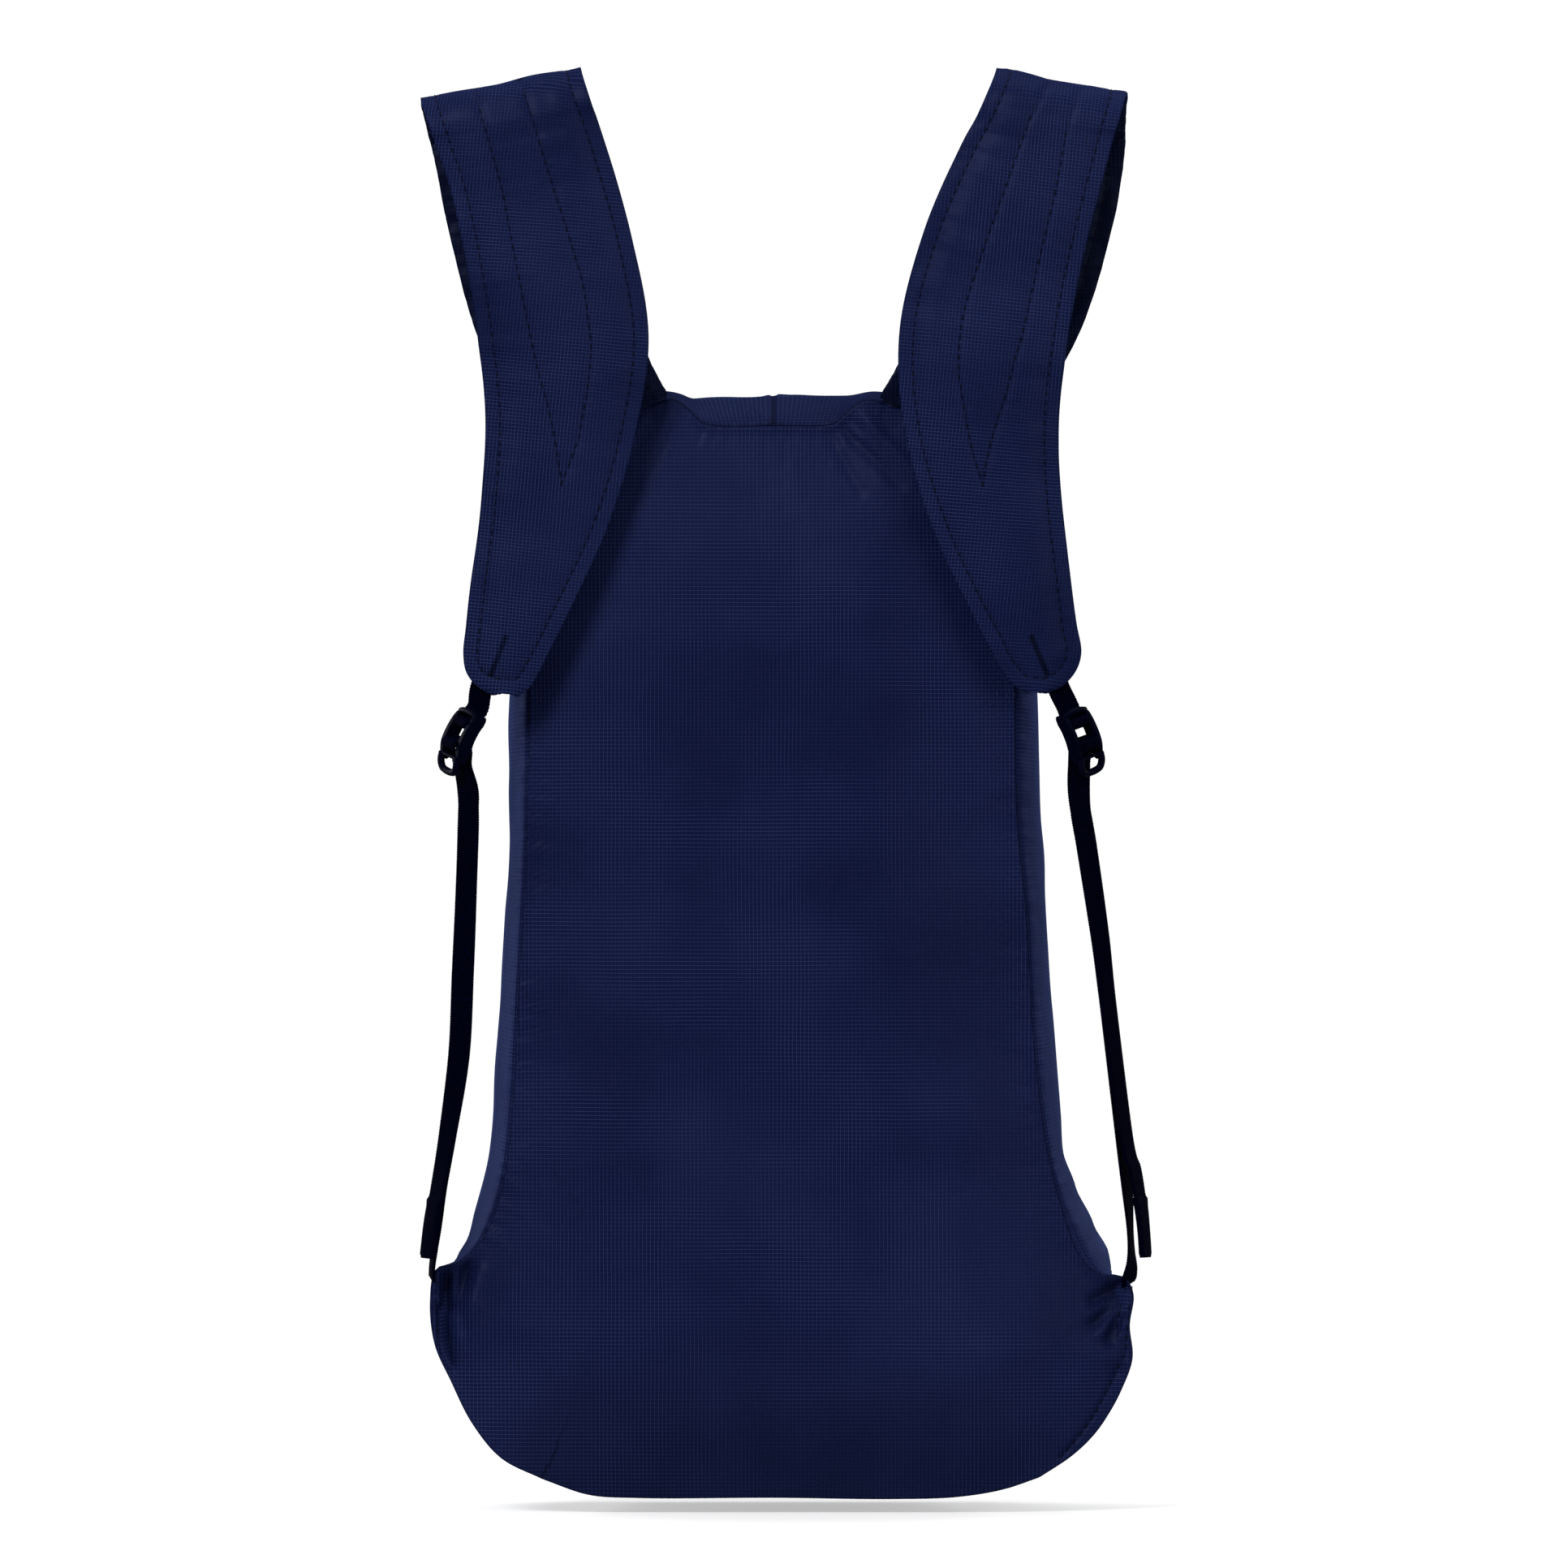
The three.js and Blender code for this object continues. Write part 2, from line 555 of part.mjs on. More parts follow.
function strapEndWebbing(side) {
  const place = lockPlaces[side];
  const behind = lockThick / 2 + webGap + webThick / 2;
  const wrap = lockStations(place, [
    [behind, lockEntry * 1.17], [behind, lockEntry * 0.86],
    ...barWrap(barHeights.anchor, 15, -195, 8),
  ]);
  const tip = strapTables[side].front.at(-2);
  const y = tip[4] + flangeThick / 2 + webGap + webThick / 2;
  const head = runKeys([
    [tip[0] - 0.072, tip[1] + 0.045, y + strapCup + 1.8, 0],
    [tip[0] - 0.040, tip[1] + 0.018, y + strapCup + 0.9, 0],
    [tip[0] - 0.014, tip[1] - 0.004, y + strapCup + 0.6, 12],
  ], place.side);
  return ribbon(smoothStations([...head, ...wrap], 2));
}

const group = new THREE.Group();
function add(name, geometry, material) {
  const mesh = new THREE.Mesh(geometry, material.clone());
  mesh.name = name;
  group.add(mesh);
}

add("back_panel", backPanel(), cloth);
add("side_panel_left", gusset("left", 26, 7), cloth);
add("side_panel_right", gusset("right", 26, 7), cloth);
add("bottom_panel", gusset("bottom", 18, 7), cloth);
add("top_panel", gusset("top", 26, 7), cloth);
add("front_panel", frontPanel(), cloth);
for (const side of ["left", "right"]) {
  add(`shoulder_strap_${side}`, shoulderStrap(strapTables[side]), strapCloth);
  add(`strap_end_webbing_${side}`, strapEndWebbing(side), web);
  add(`ladder_lock_${side}`, ladderLock(lockPlaces[side]), plastic);
  add(`adjuster_webbing_${side}`, adjusterWebbing(side), web);
}

// The origin is where the bag hangs: under the crests of the two straps, midway between them.
const crestLow = (table) => {
  const [, oz, , iz] = table.crest;
  return bodyHeight * (oz + iz) / 2 - padThick;
};
const hangZ = (crestLow(strapTables.left) + crestLow(strapTables.right)) / 2;
for (const mesh of group.children) mesh.geometry.translate(0, -crestY, -hangZ);

export default group;
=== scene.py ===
import math
import bpy
import bmesh
import numpy as np
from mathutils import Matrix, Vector


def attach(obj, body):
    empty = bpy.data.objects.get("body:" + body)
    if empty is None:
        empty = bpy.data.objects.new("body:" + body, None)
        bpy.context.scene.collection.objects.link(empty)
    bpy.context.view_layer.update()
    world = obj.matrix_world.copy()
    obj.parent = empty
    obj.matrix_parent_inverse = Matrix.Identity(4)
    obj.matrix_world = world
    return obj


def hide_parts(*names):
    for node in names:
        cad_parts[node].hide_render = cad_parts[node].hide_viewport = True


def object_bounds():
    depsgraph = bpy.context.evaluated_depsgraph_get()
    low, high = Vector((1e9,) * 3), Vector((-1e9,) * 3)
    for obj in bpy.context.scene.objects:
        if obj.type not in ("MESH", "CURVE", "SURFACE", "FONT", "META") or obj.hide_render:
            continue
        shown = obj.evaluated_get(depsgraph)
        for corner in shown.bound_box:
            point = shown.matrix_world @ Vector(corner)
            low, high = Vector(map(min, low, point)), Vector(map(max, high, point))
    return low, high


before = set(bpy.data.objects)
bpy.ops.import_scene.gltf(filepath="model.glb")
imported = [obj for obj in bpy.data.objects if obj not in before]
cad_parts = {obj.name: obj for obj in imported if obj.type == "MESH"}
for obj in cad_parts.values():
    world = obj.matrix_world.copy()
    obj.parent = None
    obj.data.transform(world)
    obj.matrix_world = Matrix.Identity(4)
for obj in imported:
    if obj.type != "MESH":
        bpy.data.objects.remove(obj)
cadLow, cadHigh = [list(corner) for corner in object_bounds()]
print("frame loaded, size", [round(h - l, 3) for l, h in zip(cadLow, cadHigh)])

# The bag is worked out in millimetres above its bottom seam, then moved under the strap crests.
bag = {
    "height": 480.0, "wingHalf": 150.0, "depth": 96.0, "topDepthShare": 0.72,
    "frontCrown": 30.0, "sideBulge": 9.5, "topDrop": 24.0,
    "mouthDrop": 15.0, "mouthHalf": 0.4,
    "skin": 0.8, "sewn": 0.06, "cornerTrim": 0.3,  # thickness of the cloth and play at its seams
}
hang = {"y": 12.0, "z": 613.28}  # from the bag's own place to the frame
photo = {"pixel": 0.354, "middleX": 955.0, "bottomY": 1848.0}  # the picture's scale and zero


def fromPhoto(px, py):
    return ((px - photo["middleX"]) * photo["pixel"], (photo["bottomY"] - py) * photo["pixel"])


def inFrame(points):
    # from the bag's own millimetres to the frame's metres
    return (np.asarray(points) + [0, hang["y"], -hang["z"]]) / 1000


# Seams of the back panel: out as a share of wingHalf, up as a share of height.
seamRows = {
    "left": [
        (-0.677, 0.018), (-0.798, 0.037), (-0.883, 0.069), (-0.944, 0.107), (-0.991, 0.14),
        (-1.005, 0.179), (-0.987, 0.209), (-0.925, 0.214), (-0.849, 0.238), (-0.786, 0.297),
        (-0.743, 0.478), (-0.72, 0.625), (-0.71, 0.792), (-0.703, 0.892), (-0.667, 0.942)],
    "right": [
        (0.772, 0.02), (0.864, 0.039), (0.928, 0.058), (0.973, 0.078), (1.01, 0.1), (1.041, 0.128),
        (1.033, 0.158), (1.044, 0.186), (1.02, 0.201), (0.965, 0.203), (0.932, 0.206),
        (0.887, 0.221), (0.807, 0.296), (0.757, 0.4), (0.729, 0.536), (0.703, 0.625), (0.697, 0.792),
        (0.693, 0.892), (0.66, 0.942)],
    "bottom": [
        (-0.677, 0.018), (-0.545, 0.004), (-0.4, 0.001), (0.0, 0.001), (0.342, 0.0), (0.533, 0.002),
        (0.667, 0.009), (0.772, 0.02)],
    "top": [
        (-0.667, 0.942), (-0.587, 0.964), (-0.493, 0.979), (-0.377, 0.993), (-0.293, 0.999),
        (-0.243, 0.988), (-0.208, 0.978), (0.0, 0.976), (0.175, 0.978), (0.192, 0.983),
        (0.241, 0.996), (0.273, 0.999), (0.353, 0.992), (0.48, 0.98), (0.58, 0.964), (0.66, 0.942)],
}
farRows = {
    "left": [
        (-0.6, 0.022), (-0.7, 0.06), (-0.745, 0.13), (-0.76, 0.22), (-0.755, 0.4), (-0.725, 0.6),
        (-0.675, 0.8), (-0.64, 0.87), (-0.58, 0.905)],
    "right": [
        (0.61, 0.022), (0.71, 0.06), (0.755, 0.13), (0.77, 0.22), (0.76, 0.4), (0.725, 0.6),
        (0.675, 0.8), (0.64, 0.87), (0.58, 0.905)],
    "bottom": [
        (-0.6, 0.022), (-0.4, 0.01), (0, 0.006), (0.4, 0.01), (0.61, 0.022)],
    "top": [
        (-0.58, 0.905), (-0.38, 0.926), (0, 0.934), (0.38, 0.926), (0.58, 0.905)],
}


def smooth(v):
    c = np.clip(v, 0.0, 1.0)
    return c * c * (3.0 - 2.0 * c)


def lerp(a, b, k):
    return a + (b - a) * k


def throughPoints(points, share, centripetal=False):
    # smooth curve through points, at shares from 0 to 1 counted by point
    p = np.asarray(points, float)
    p = np.vstack([2 * p[:1] - p[1:2], p, 2 * p[-1:] - p[-2:-1]])
    n = len(points) - 1
    at = np.clip(np.atleast_1d(share), 0, 1) * n
    k = np.minimum(at.astype(int), n - 1)
    t = (at - k)[:, None]
    a, b, c, d = p[k], p[k + 1], p[k + 2], p[k + 3]
    if centripetal:
        step = lambda u, v: np.maximum(((u - v) ** 2).sum(1) ** 0.25, 1e-6)[:, None]
        da, db, dc = step(a, b), step(b, c), step(c, d)
        ta = ((b - a) / da - (c - a) / (da + db) + (c - b) / db) * db
        tb = ((c - b) / db - (d - b) / (db + dc) + (d - c) / dc) * db
    else:
        ta, tb = (c - a) / 2, (d - b) / 2
    return (b * (2 * t**3 - 3 * t**2 + 1) + c * (3 * t**2 - 2 * t**3)
            + ta * (t**3 - 2 * t**2 + t) + tb * (t**3 - t**2))


def pictureLine(pixels, count):
    # smooth line through picture points, as (x, z) in millimetres
    return throughPoints([fromPhoto(*p) for p in pixels], np.linspace(0, 1, count), True)


def runAlong(points, axis=0):
    # length from the first point, along a line or along one axis of a grid
    steps = np.linalg.norm(np.diff(points, axis=axis), axis=-1)
    return np.insert(np.cumsum(steps, axis=axis), 0, 0.0, axis=axis)


def unit(v):
    return v / np.maximum(np.linalg.norm(v, axis=-1, keepdims=True), 1e-9)


class SeamLine:
    # a seam in the plane of the back panel, read by its length
    def __init__(self, rows):
        scaled = [(x * bag["wingHalf"], z * bag["height"]) for x, z in rows]
        self.points = throughPoints(scaled, np.linspace(0, 1, 3000), True)
        self.run = runAlong(self.points)
        self.length = self.run[-1]

    def at(self, t):
        d = np.clip(t, 0, 1) * self.length
        return np.stack([np.interp(d, self.run, self.points[:, k]) for k in (0, 1)], -1)


near = {name: SeamLine(rows) for name, rows in seamRows.items()}
far = {name: SeamLine(rows) for name, rows in farRows.items()}


def depthAt(z):
    low = smooth((z / bag["height"] - 0.35) / 0.6)
    return bag["depth"] * (1 - (1 - bag["topDepthShare"]) * low)


def lattice(x, z, size, seed):
    # soft noise from -1 to 1 that changes over about size millimetres
    cells = 64
    table = np.random.default_rng(seed).uniform(-1, 1, (cells, cells))
    u, v = x / size + 31.3, z / size + 17.7
    i, j = np.floor(u).astype(int), np.floor(v).astype(int)
    a, b = smooth(u - i), smooth(v - j)
    pick = lambda di, dj: table[(i + di) % cells, (j + dj) % cells]
    return lerp(lerp(pick(0, 0), pick(1, 0), a), lerp(pick(0, 1), pick(1, 1), a), b)


def patch(sides, s, t):
    # points inside four seams, across by s and up by t
    left, right = sides["left"].at(t), sides["right"].at(t)
    bottom, top = sides["bottom"], sides["top"]
    low, high = bottom.at(s), top.at(s)
    s, t = s[..., None], t[..., None]
    p = left * (1 - s) + right * s + low * (1 - t) + high * t
    p -= bottom.points[0] * (1 - s) * (1 - t) + bottom.points[-1] * s * (1 - t)
    p -= top.points[0] * (1 - s) * t + top.points[-1] * s * t
    return p


def pillow(s, t, power):
    return (1 - abs(2 * s - 1) ** power) * (1 - abs(2 * t - 1) ** power)


def alongFold(x, z, fold):
    # share along a fold line and distance from it, in millimetres
    x0, z0, x1, z1 = fold[:4]
    a = np.array([x0 * bag["wingHalf"], z0 * bag["height"]])
    d = np.array([x1 * bag["wingHalf"], z1 * bag["height"]]) - a
    share = np.clip(((x - a[0]) * d[0] + (z - a[1]) * d[1]) / (d @ d), 0, 1)
    return share, np.hypot(x - a[0] - share * d[0], z - a[1] - share * d[1])


def foldHeight(x, z, folds):
    height = np.zeros_like(x)
    for fold in folds:
        share, off = alongFold(x, z, fold)
        wide, high = fold[4:]
        fade = 0.35 + 0.65 * np.sin(np.pi * (0.15 + 0.7 * share))
        height += high * np.exp(-((off / wide) ** 2)) * fade
    return height


def crowded(count):
    # shares from 0 to 1 that crowd toward both ends
    s = np.linspace(0, 1, count)
    return s + 0.35 * (0.5 - 0.5 * np.cos(np.pi * s) - s)


def gridNormals(grid):
    return unit(np.cross(np.gradient(grid, axis=0), np.gradient(grid, axis=1)))


def linked(name, data):
    obj = bpy.data.objects.new(name, data)
    bpy.context.collection.objects.link(obj)
    return obj


def meshObject(name, points, faces, material, uvs=None):
    # points in bag millimetres; uvs is a table of map name to one pair per point, in metres
    mesh = bpy.data.meshes.new(name)
    mesh.from_pydata(inFrame(points).tolist(), [], faces)
    for mapName, pairs in (uvs or {}).items():
        layer = mesh.uv_layers.new(name=mapName)
        corner = np.empty(len(mesh.loops), int)
        mesh.loops.foreach_get("vertex_index", corner)
        layer.data.foreach_set("uv", np.asarray(pairs)[corner].ravel())
    mesh.shade_smooth()
    mesh.materials.append(material)
    return linked(name, mesh)


def sheetMesh(name, grid, thick, material, uvs, facing=None):
    # closed shell round a grid of points, thick laid half to each side
    rows, columns = grid.shape[:2]
    normals = gridNormals(grid) if facing is None else np.broadcast_to(facing, grid.shape)
    half = normals * (np.broadcast_to(thick, (rows, columns))[..., None] / 2)
    points = np.concatenate([(grid + half).reshape(-1, 3), (grid - half).reshape(-1, 3)])
    size = rows * columns
    place = np.arange(size).reshape(rows, columns)
    corners = place[:-1, :-1], place[1:, :-1], place[1:, 1:], place[:-1, 1:]
    a, b, c, d = [corner.ravel() for corner in corners]
    rim = np.concatenate([place[0, :-1], place[:-1, -1], place[-1, :0:-1], place[:0:-1, 0]])
    ahead = np.roll(rim, -1)
    faces = np.concatenate([np.stack([a, b, c, d], 1), np.stack([a, d, c, b], 1) + size,
                            np.stack([rim, ahead, ahead + size, rim + size], 1)])
    tri = points[faces[:, :3]] - points.mean(0)
    if np.einsum("ij,ij->", tri[:, 0], np.cross(tri[:, 1], tri[:, 2])) < 0:
        faces = faces[:, ::-1]
    # the crease map carries painted shade; a piece that gives none has no painted shade
    uvs = {"crease": np.zeros((size, 2))} | uvs
    doubled = {key: np.concatenate([uvs[key].reshape(-1, 2)] * 2) for key in ("weave", "seam", "crease")}
    return meshObject(name, points, faces.tolist(), material, doubled)


def finishPiece(obj, slotName, *nodes):
    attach(obj, "root")
    if nodes:
        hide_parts(*nodes)
    return obj


# Materials
def newGroup(name, inputs, output):
    # shader group with one number out; an input without a value takes a vector
    group = bpy.data.node_groups.new(name, "ShaderNodeTree")
    for label, value in inputs.items():
        kind = "NodeSocketVector" if value is None else "NodeSocketFloat"
        socket = group.interface.new_socket(name=label, in_out="INPUT", socket_type=kind)
        if value is not None:
            socket.default_value = value
    group.interface.new_socket(name=output, in_out="OUTPUT", socket_type="NodeSocketFloat")
    return group, group.nodes.new("NodeGroupInput").outputs, group.nodes.new("NodeGroupOutput").inputs


class Wires:
    # short hand for adding nodes to a tree
    def __init__(self, tree):
        self.tree = tree

    def node(self, kind, inputs=(), **settings):
        made = self.tree.nodes.new(kind)
        for key, value in settings.items():
            setattr(made, key, value)
        for key, value in dict(inputs).items():
            self.put(made.inputs[key], value)
        return made

    def out(self, kind, inputs=(), **settings):
        return self.node(kind, inputs, **settings).outputs[0]

    def put(self, socket, value):
        if isinstance(value, bpy.types.NodeSocket):
            self.tree.links.new(value, socket)
        else:
            socket.default_value = value

    def math(self, operation, a, b=0.0, c=0.0):
        return self.out("ShaderNodeMath", {0: a, 1: b, 2: c}, operation=operation)

    def vector(self, operation, a, b=(0.0, 0.0, 0.0), scale=1.0):
        return self.out("ShaderNodeVectorMath", {0: a, 1: b, 3: scale}, operation=operation)

    def ramp(self, value, low, high, toLow=0.0, toHigh=1.0):
        return self.out("ShaderNodeMapRange", {
            "Value": value, "From Min": low, "From Max": high, "To Min": toLow, "To Max": toHigh},
            interpolation_type="SMOOTHSTEP")

    def noise(self, vector, scale, detail=2.0, rough=0.5):
        return self.out("ShaderNodeTexNoise", {
            "Vector": vector, "Scale": scale, "Detail": detail, "Roughness": rough})

    def mixColor(self, factor, a, b):
        made = self.node("ShaderNodeMix", {0: factor, 6: a, 7: b}, data_type="RGBA")
        return made.outputs[2]

    def surface(self, shader, kind="ShaderNodeOutputMaterial"):
        self.node(kind, {"Surface": shader})


def newMaterial(name):
    material = bpy.data.materials.new(name)
    material.use_nodes = True
    material.node_tree.nodes.clear()
    return material, Wires(material.node_tree)


def makeRipstop():
    # a square grid of thicker threads, fading in and out in patches
    group, source, sink = newGroup("ripstopGrid", {
        "Vector": None, "Pitch": 0.0017, "Line Share": 0.3, "Patch Scale": 16.0, "Wander": 0.5}, "Lines")
    w = Wires(group)
    vector = source["Vector"]
    drift = w.node("ShaderNodeTexNoise", {"Vector": vector, "Scale": 24.0, "Detail": 1.0}).outputs["Color"]
    moved = w.vector("SCALE", w.vector("SUBTRACT", drift, (0.5, 0.5, 0.5)), scale=source["Wander"])
    cells = w.vector("SCALE", vector, scale=w.math("DIVIDE", 1.0, source["Pitch"]))
    parts = w.node("ShaderNodeSeparateXYZ", {0: w.vector("ADD", cells, moved)}).outputs
    lines = []
    for axis, stretch in (("X", (1.0, 0.45, 1.0)), ("Y", (0.45, 1.0, 1.0))):
        wave = w.math("ABSOLUTE", w.math("SUBTRACT", w.math("FRACT", parts[axis]), 0.5))
        reach = w.math("MULTIPLY", source["Line Share"], 0.5)
        patches = w.noise(w.vector("MULTIPLY", vector, stretch), source["Patch Scale"], 2.0, 0.55)
        lines.append(w.math("MULTIPLY", w.ramp(wave, 0.0, reach, 1.0, 0.0),
                            w.ramp(patches, 0.38, 0.62, 0.22, 1.0)))
    w.put(sink["Lines"], w.math("MAXIMUM", *lines))
    return group


def makePucker():
    # short gathers that run square to a seam and die away from it
    group, source, sink = newGroup("seamPucker", {"Seam": None, "Spacing": 0.006, "Reach": 0.01}, "Height")
    w = Wires(group)
    parts = w.node("ShaderNodeSeparateXYZ", {0: source["Seam"]}).outputs
    along = w.math("DIVIDE", parts["X"], source["Spacing"])
    away = w.math("DIVIDE", parts["Y"], source["Reach"])
    place = w.out("ShaderNodeCombineXYZ", {0: along, 1: w.math("MULTIPLY", away, 0.45)})
    mask = w.math("EXPONENT", w.math("MULTIPLY", away, -1.0))
    w.put(sink["Height"], w.math("MULTIPLY", w.noise(place, 1.0, 1.0, 0.4), mask))
    return group


ripstopGroup = makeRipstop()
puckerGroup = makePucker()

clothLook = {
    "navy": (0.0024, 0.0046, 0.025), "thread": (0.0255, 0.0375, 0.134),
    "seamShade": (0.0006, 0.001, 0.007, 1.0), "foldShade": (0.0005, 0.0009, 0.0062, 1.0),
    "sheenTint": (0.28, 0.38, 0.98, 1.0), "sheenRough": 0.42,
    "glossTint": (0.55, 0.62, 1.0, 1.0), "glossRough": 0.46, "gloss": 0.005,
    "rough": (0.53, 0.67), "seamNear": 0.0003, "seamFar": 0.0013,
    "lineHigh": 0.00007, "gatherHigh": 0.0016, "wrinkleHigh": 0.0016,  # metres
}


def clothMaterial(name, tint=1.0, turn=0.0, lineShare=0.22, wrinkle=1.0, gather=1.0, pitch=0.00172,
                  sheen=0.03, seamDark=0.22):
    material, w = newMaterial(name)
    weave, seam, crease = [w.out("ShaderNodeUVMap", uv_map=key) for key in ("weave", "seam", "crease")]
    turned = w.out("ShaderNodeMapping", {"Vector": weave, "Rotation": (0, 0, turn)})
    lines = w.node("ShaderNodeGroup", node_tree=ripstopGroup)
    for key, value in {"Vector": turned, "Pitch": pitch, "Line Share": lineShare}.items():
        w.put(lines.inputs[key], value)
    lines = lines.outputs["Lines"]
    pucker = w.node("ShaderNodeGroup", node_tree=puckerGroup)
    w.put(pucker.inputs["Seam"], seam)
    place = w.node("ShaderNodeTexCoord").outputs["Object"]
    broad, fine = w.noise(place, 9.0, 3.0, 0.5), w.noise(turned, 900.0, 2.0, 0.6)
    creases = w.noise(w.vector("MULTIPLY", place, (1.0, 1.0, 0.55)), 38.0, 3.0, 0.55)
    dark, light = [(*(c * tint for c in clothLook[key]), 1.0) for key in ("navy", "thread")]
    grain = w.math("MULTIPLY", w.math("SUBTRACT", fine, 0.5), 0.22)
    share = w.math("MAXIMUM", w.math("ADD", w.math("MULTIPLY", lines, 0.78), grain), 0.0)
    color = w.mixColor(w.ramp(broad, 0.42, 0.66, 0.0, 0.07), w.mixColor(share, dark, light), light)
    off = w.node("ShaderNodeSeparateXYZ", {0: seam}).outputs["Y"]
    nearSeam = w.ramp(off, clothLook["seamNear"], clothLook["seamFar"], seamDark, 0.0)
    color = w.mixColor(nearSeam, color, clothLook["seamShade"])
    # painted shade in folds and creases, from the crease map
    color = w.mixColor(w.out("ShaderNodeSeparateXYZ", {0: crease}), color, clothLook["foldShade"])
    gathers = w.math("MULTIPLY", pucker.outputs["Height"], clothLook["gatherHigh"] * gather)
    height = w.math("ADD", w.math("MULTIPLY", lines, clothLook["lineHigh"]), gathers)
    height = w.math("ADD", height, w.math("MULTIPLY", creases, clothLook["wrinkleHigh"] * wrinkle))
    bump = w.out("ShaderNodeBump", {"Height": height, "Strength": 1.0, "Distance": 1.0})
    shader = w.out("ShaderNodeBsdfPrincipled", {
        "Base Color": color, "Specular IOR Level": 0.0, "Sheen Weight": sheen,
        "Sheen Roughness": clothLook["sheenRough"], "Sheen Tint": clothLook["sheenTint"],
        "Roughness": w.ramp(fine, 0.2, 0.8, *clothLook["rough"]), "Normal": bump})
    gloss = w.out("ShaderNodeBsdfAnisotropic", {
        "Color": clothLook["glossTint"], "Roughness": clothLook["glossRough"], "Normal": bump})
    w.surface(w.out("ShaderNodeMixShader", {0: clothLook["gloss"], 1: shader, 2: gloss}))
    return material


bagCloth = clothMaterial("bagRipstop")
# lighter copy of the ripstop with more sheen for the side panels: painted light, as the sides catch the
# light at a grazing angle
litSideCloth = clothMaterial("sideRipstopLit", tint=1.08, sheen=0.17)
strapCloth = clothMaterial("strapRipstop", turn=math.radians(-5), lineShare=0.28, wrinkle=0.35,
                           gather=0.4, pitch=0.00152, seamDark=0.16)
# darker copy of the strap cloth: painted shade for the strap's side that faces the other limb
shadedStrapCloth = clothMaterial("strapRipstopShaded", tint=0.42, wrinkle=0.9, gather=1.2, sheen=0.02, seamDark=0.3)
# darker copy of the ripstop for the top panel: painted shade
shadedTopCloth = clothMaterial("topRipstopShaded", tint=0.86, sheen=0.05, seamDark=0.6)


def plainMaterial(name, color, rough, specular, grain=None, ior=1.45):
    material, w = newMaterial(name)
    shader = w.node("ShaderNodeBsdfPrincipled", {
        "Base Color": (*color, 1.0), "Roughness": rough, "Specular IOR Level": specular, "IOR": ior})
    if grain:
        speckle = w.noise(w.node("ShaderNodeTexCoord").outputs["Object"], grain["scale"], 3.0, 0.6)
        lifted = (*[c * grain["lift"] for c in color], 1.0)
        w.put(shader.inputs["Base Color"], w.mixColor(w.ramp(speckle, 0.35, 0.75), (*color, 1.0), lifted))
        w.put(shader.inputs["Normal"], w.out("ShaderNodeBump", {
            "Height": speckle, "Strength": 1.0, "Distance": grain["deep"]}))
    w.surface(shader.outputs[0])
    return material


webLook = plainMaterial("wovenWebbing", (0.0001, 0.0002, 0.0026), 0.85, 0.1,
                        {"scale": 900.0, "lift": 3.0, "deep": 0.00012}, ior=1.12)
lockLook = plainMaterial("mouldedLock", (0.0004, 0.0006, 0.0056), 0.46, 0.12,
                         {"scale": 420.0, "lift": 1.5, "deep": 0.00003}, ior=1.16)
stitchLook = plainMaterial("darkThread", (0.001, 0.0014, 0.008), 0.6, 0.08)

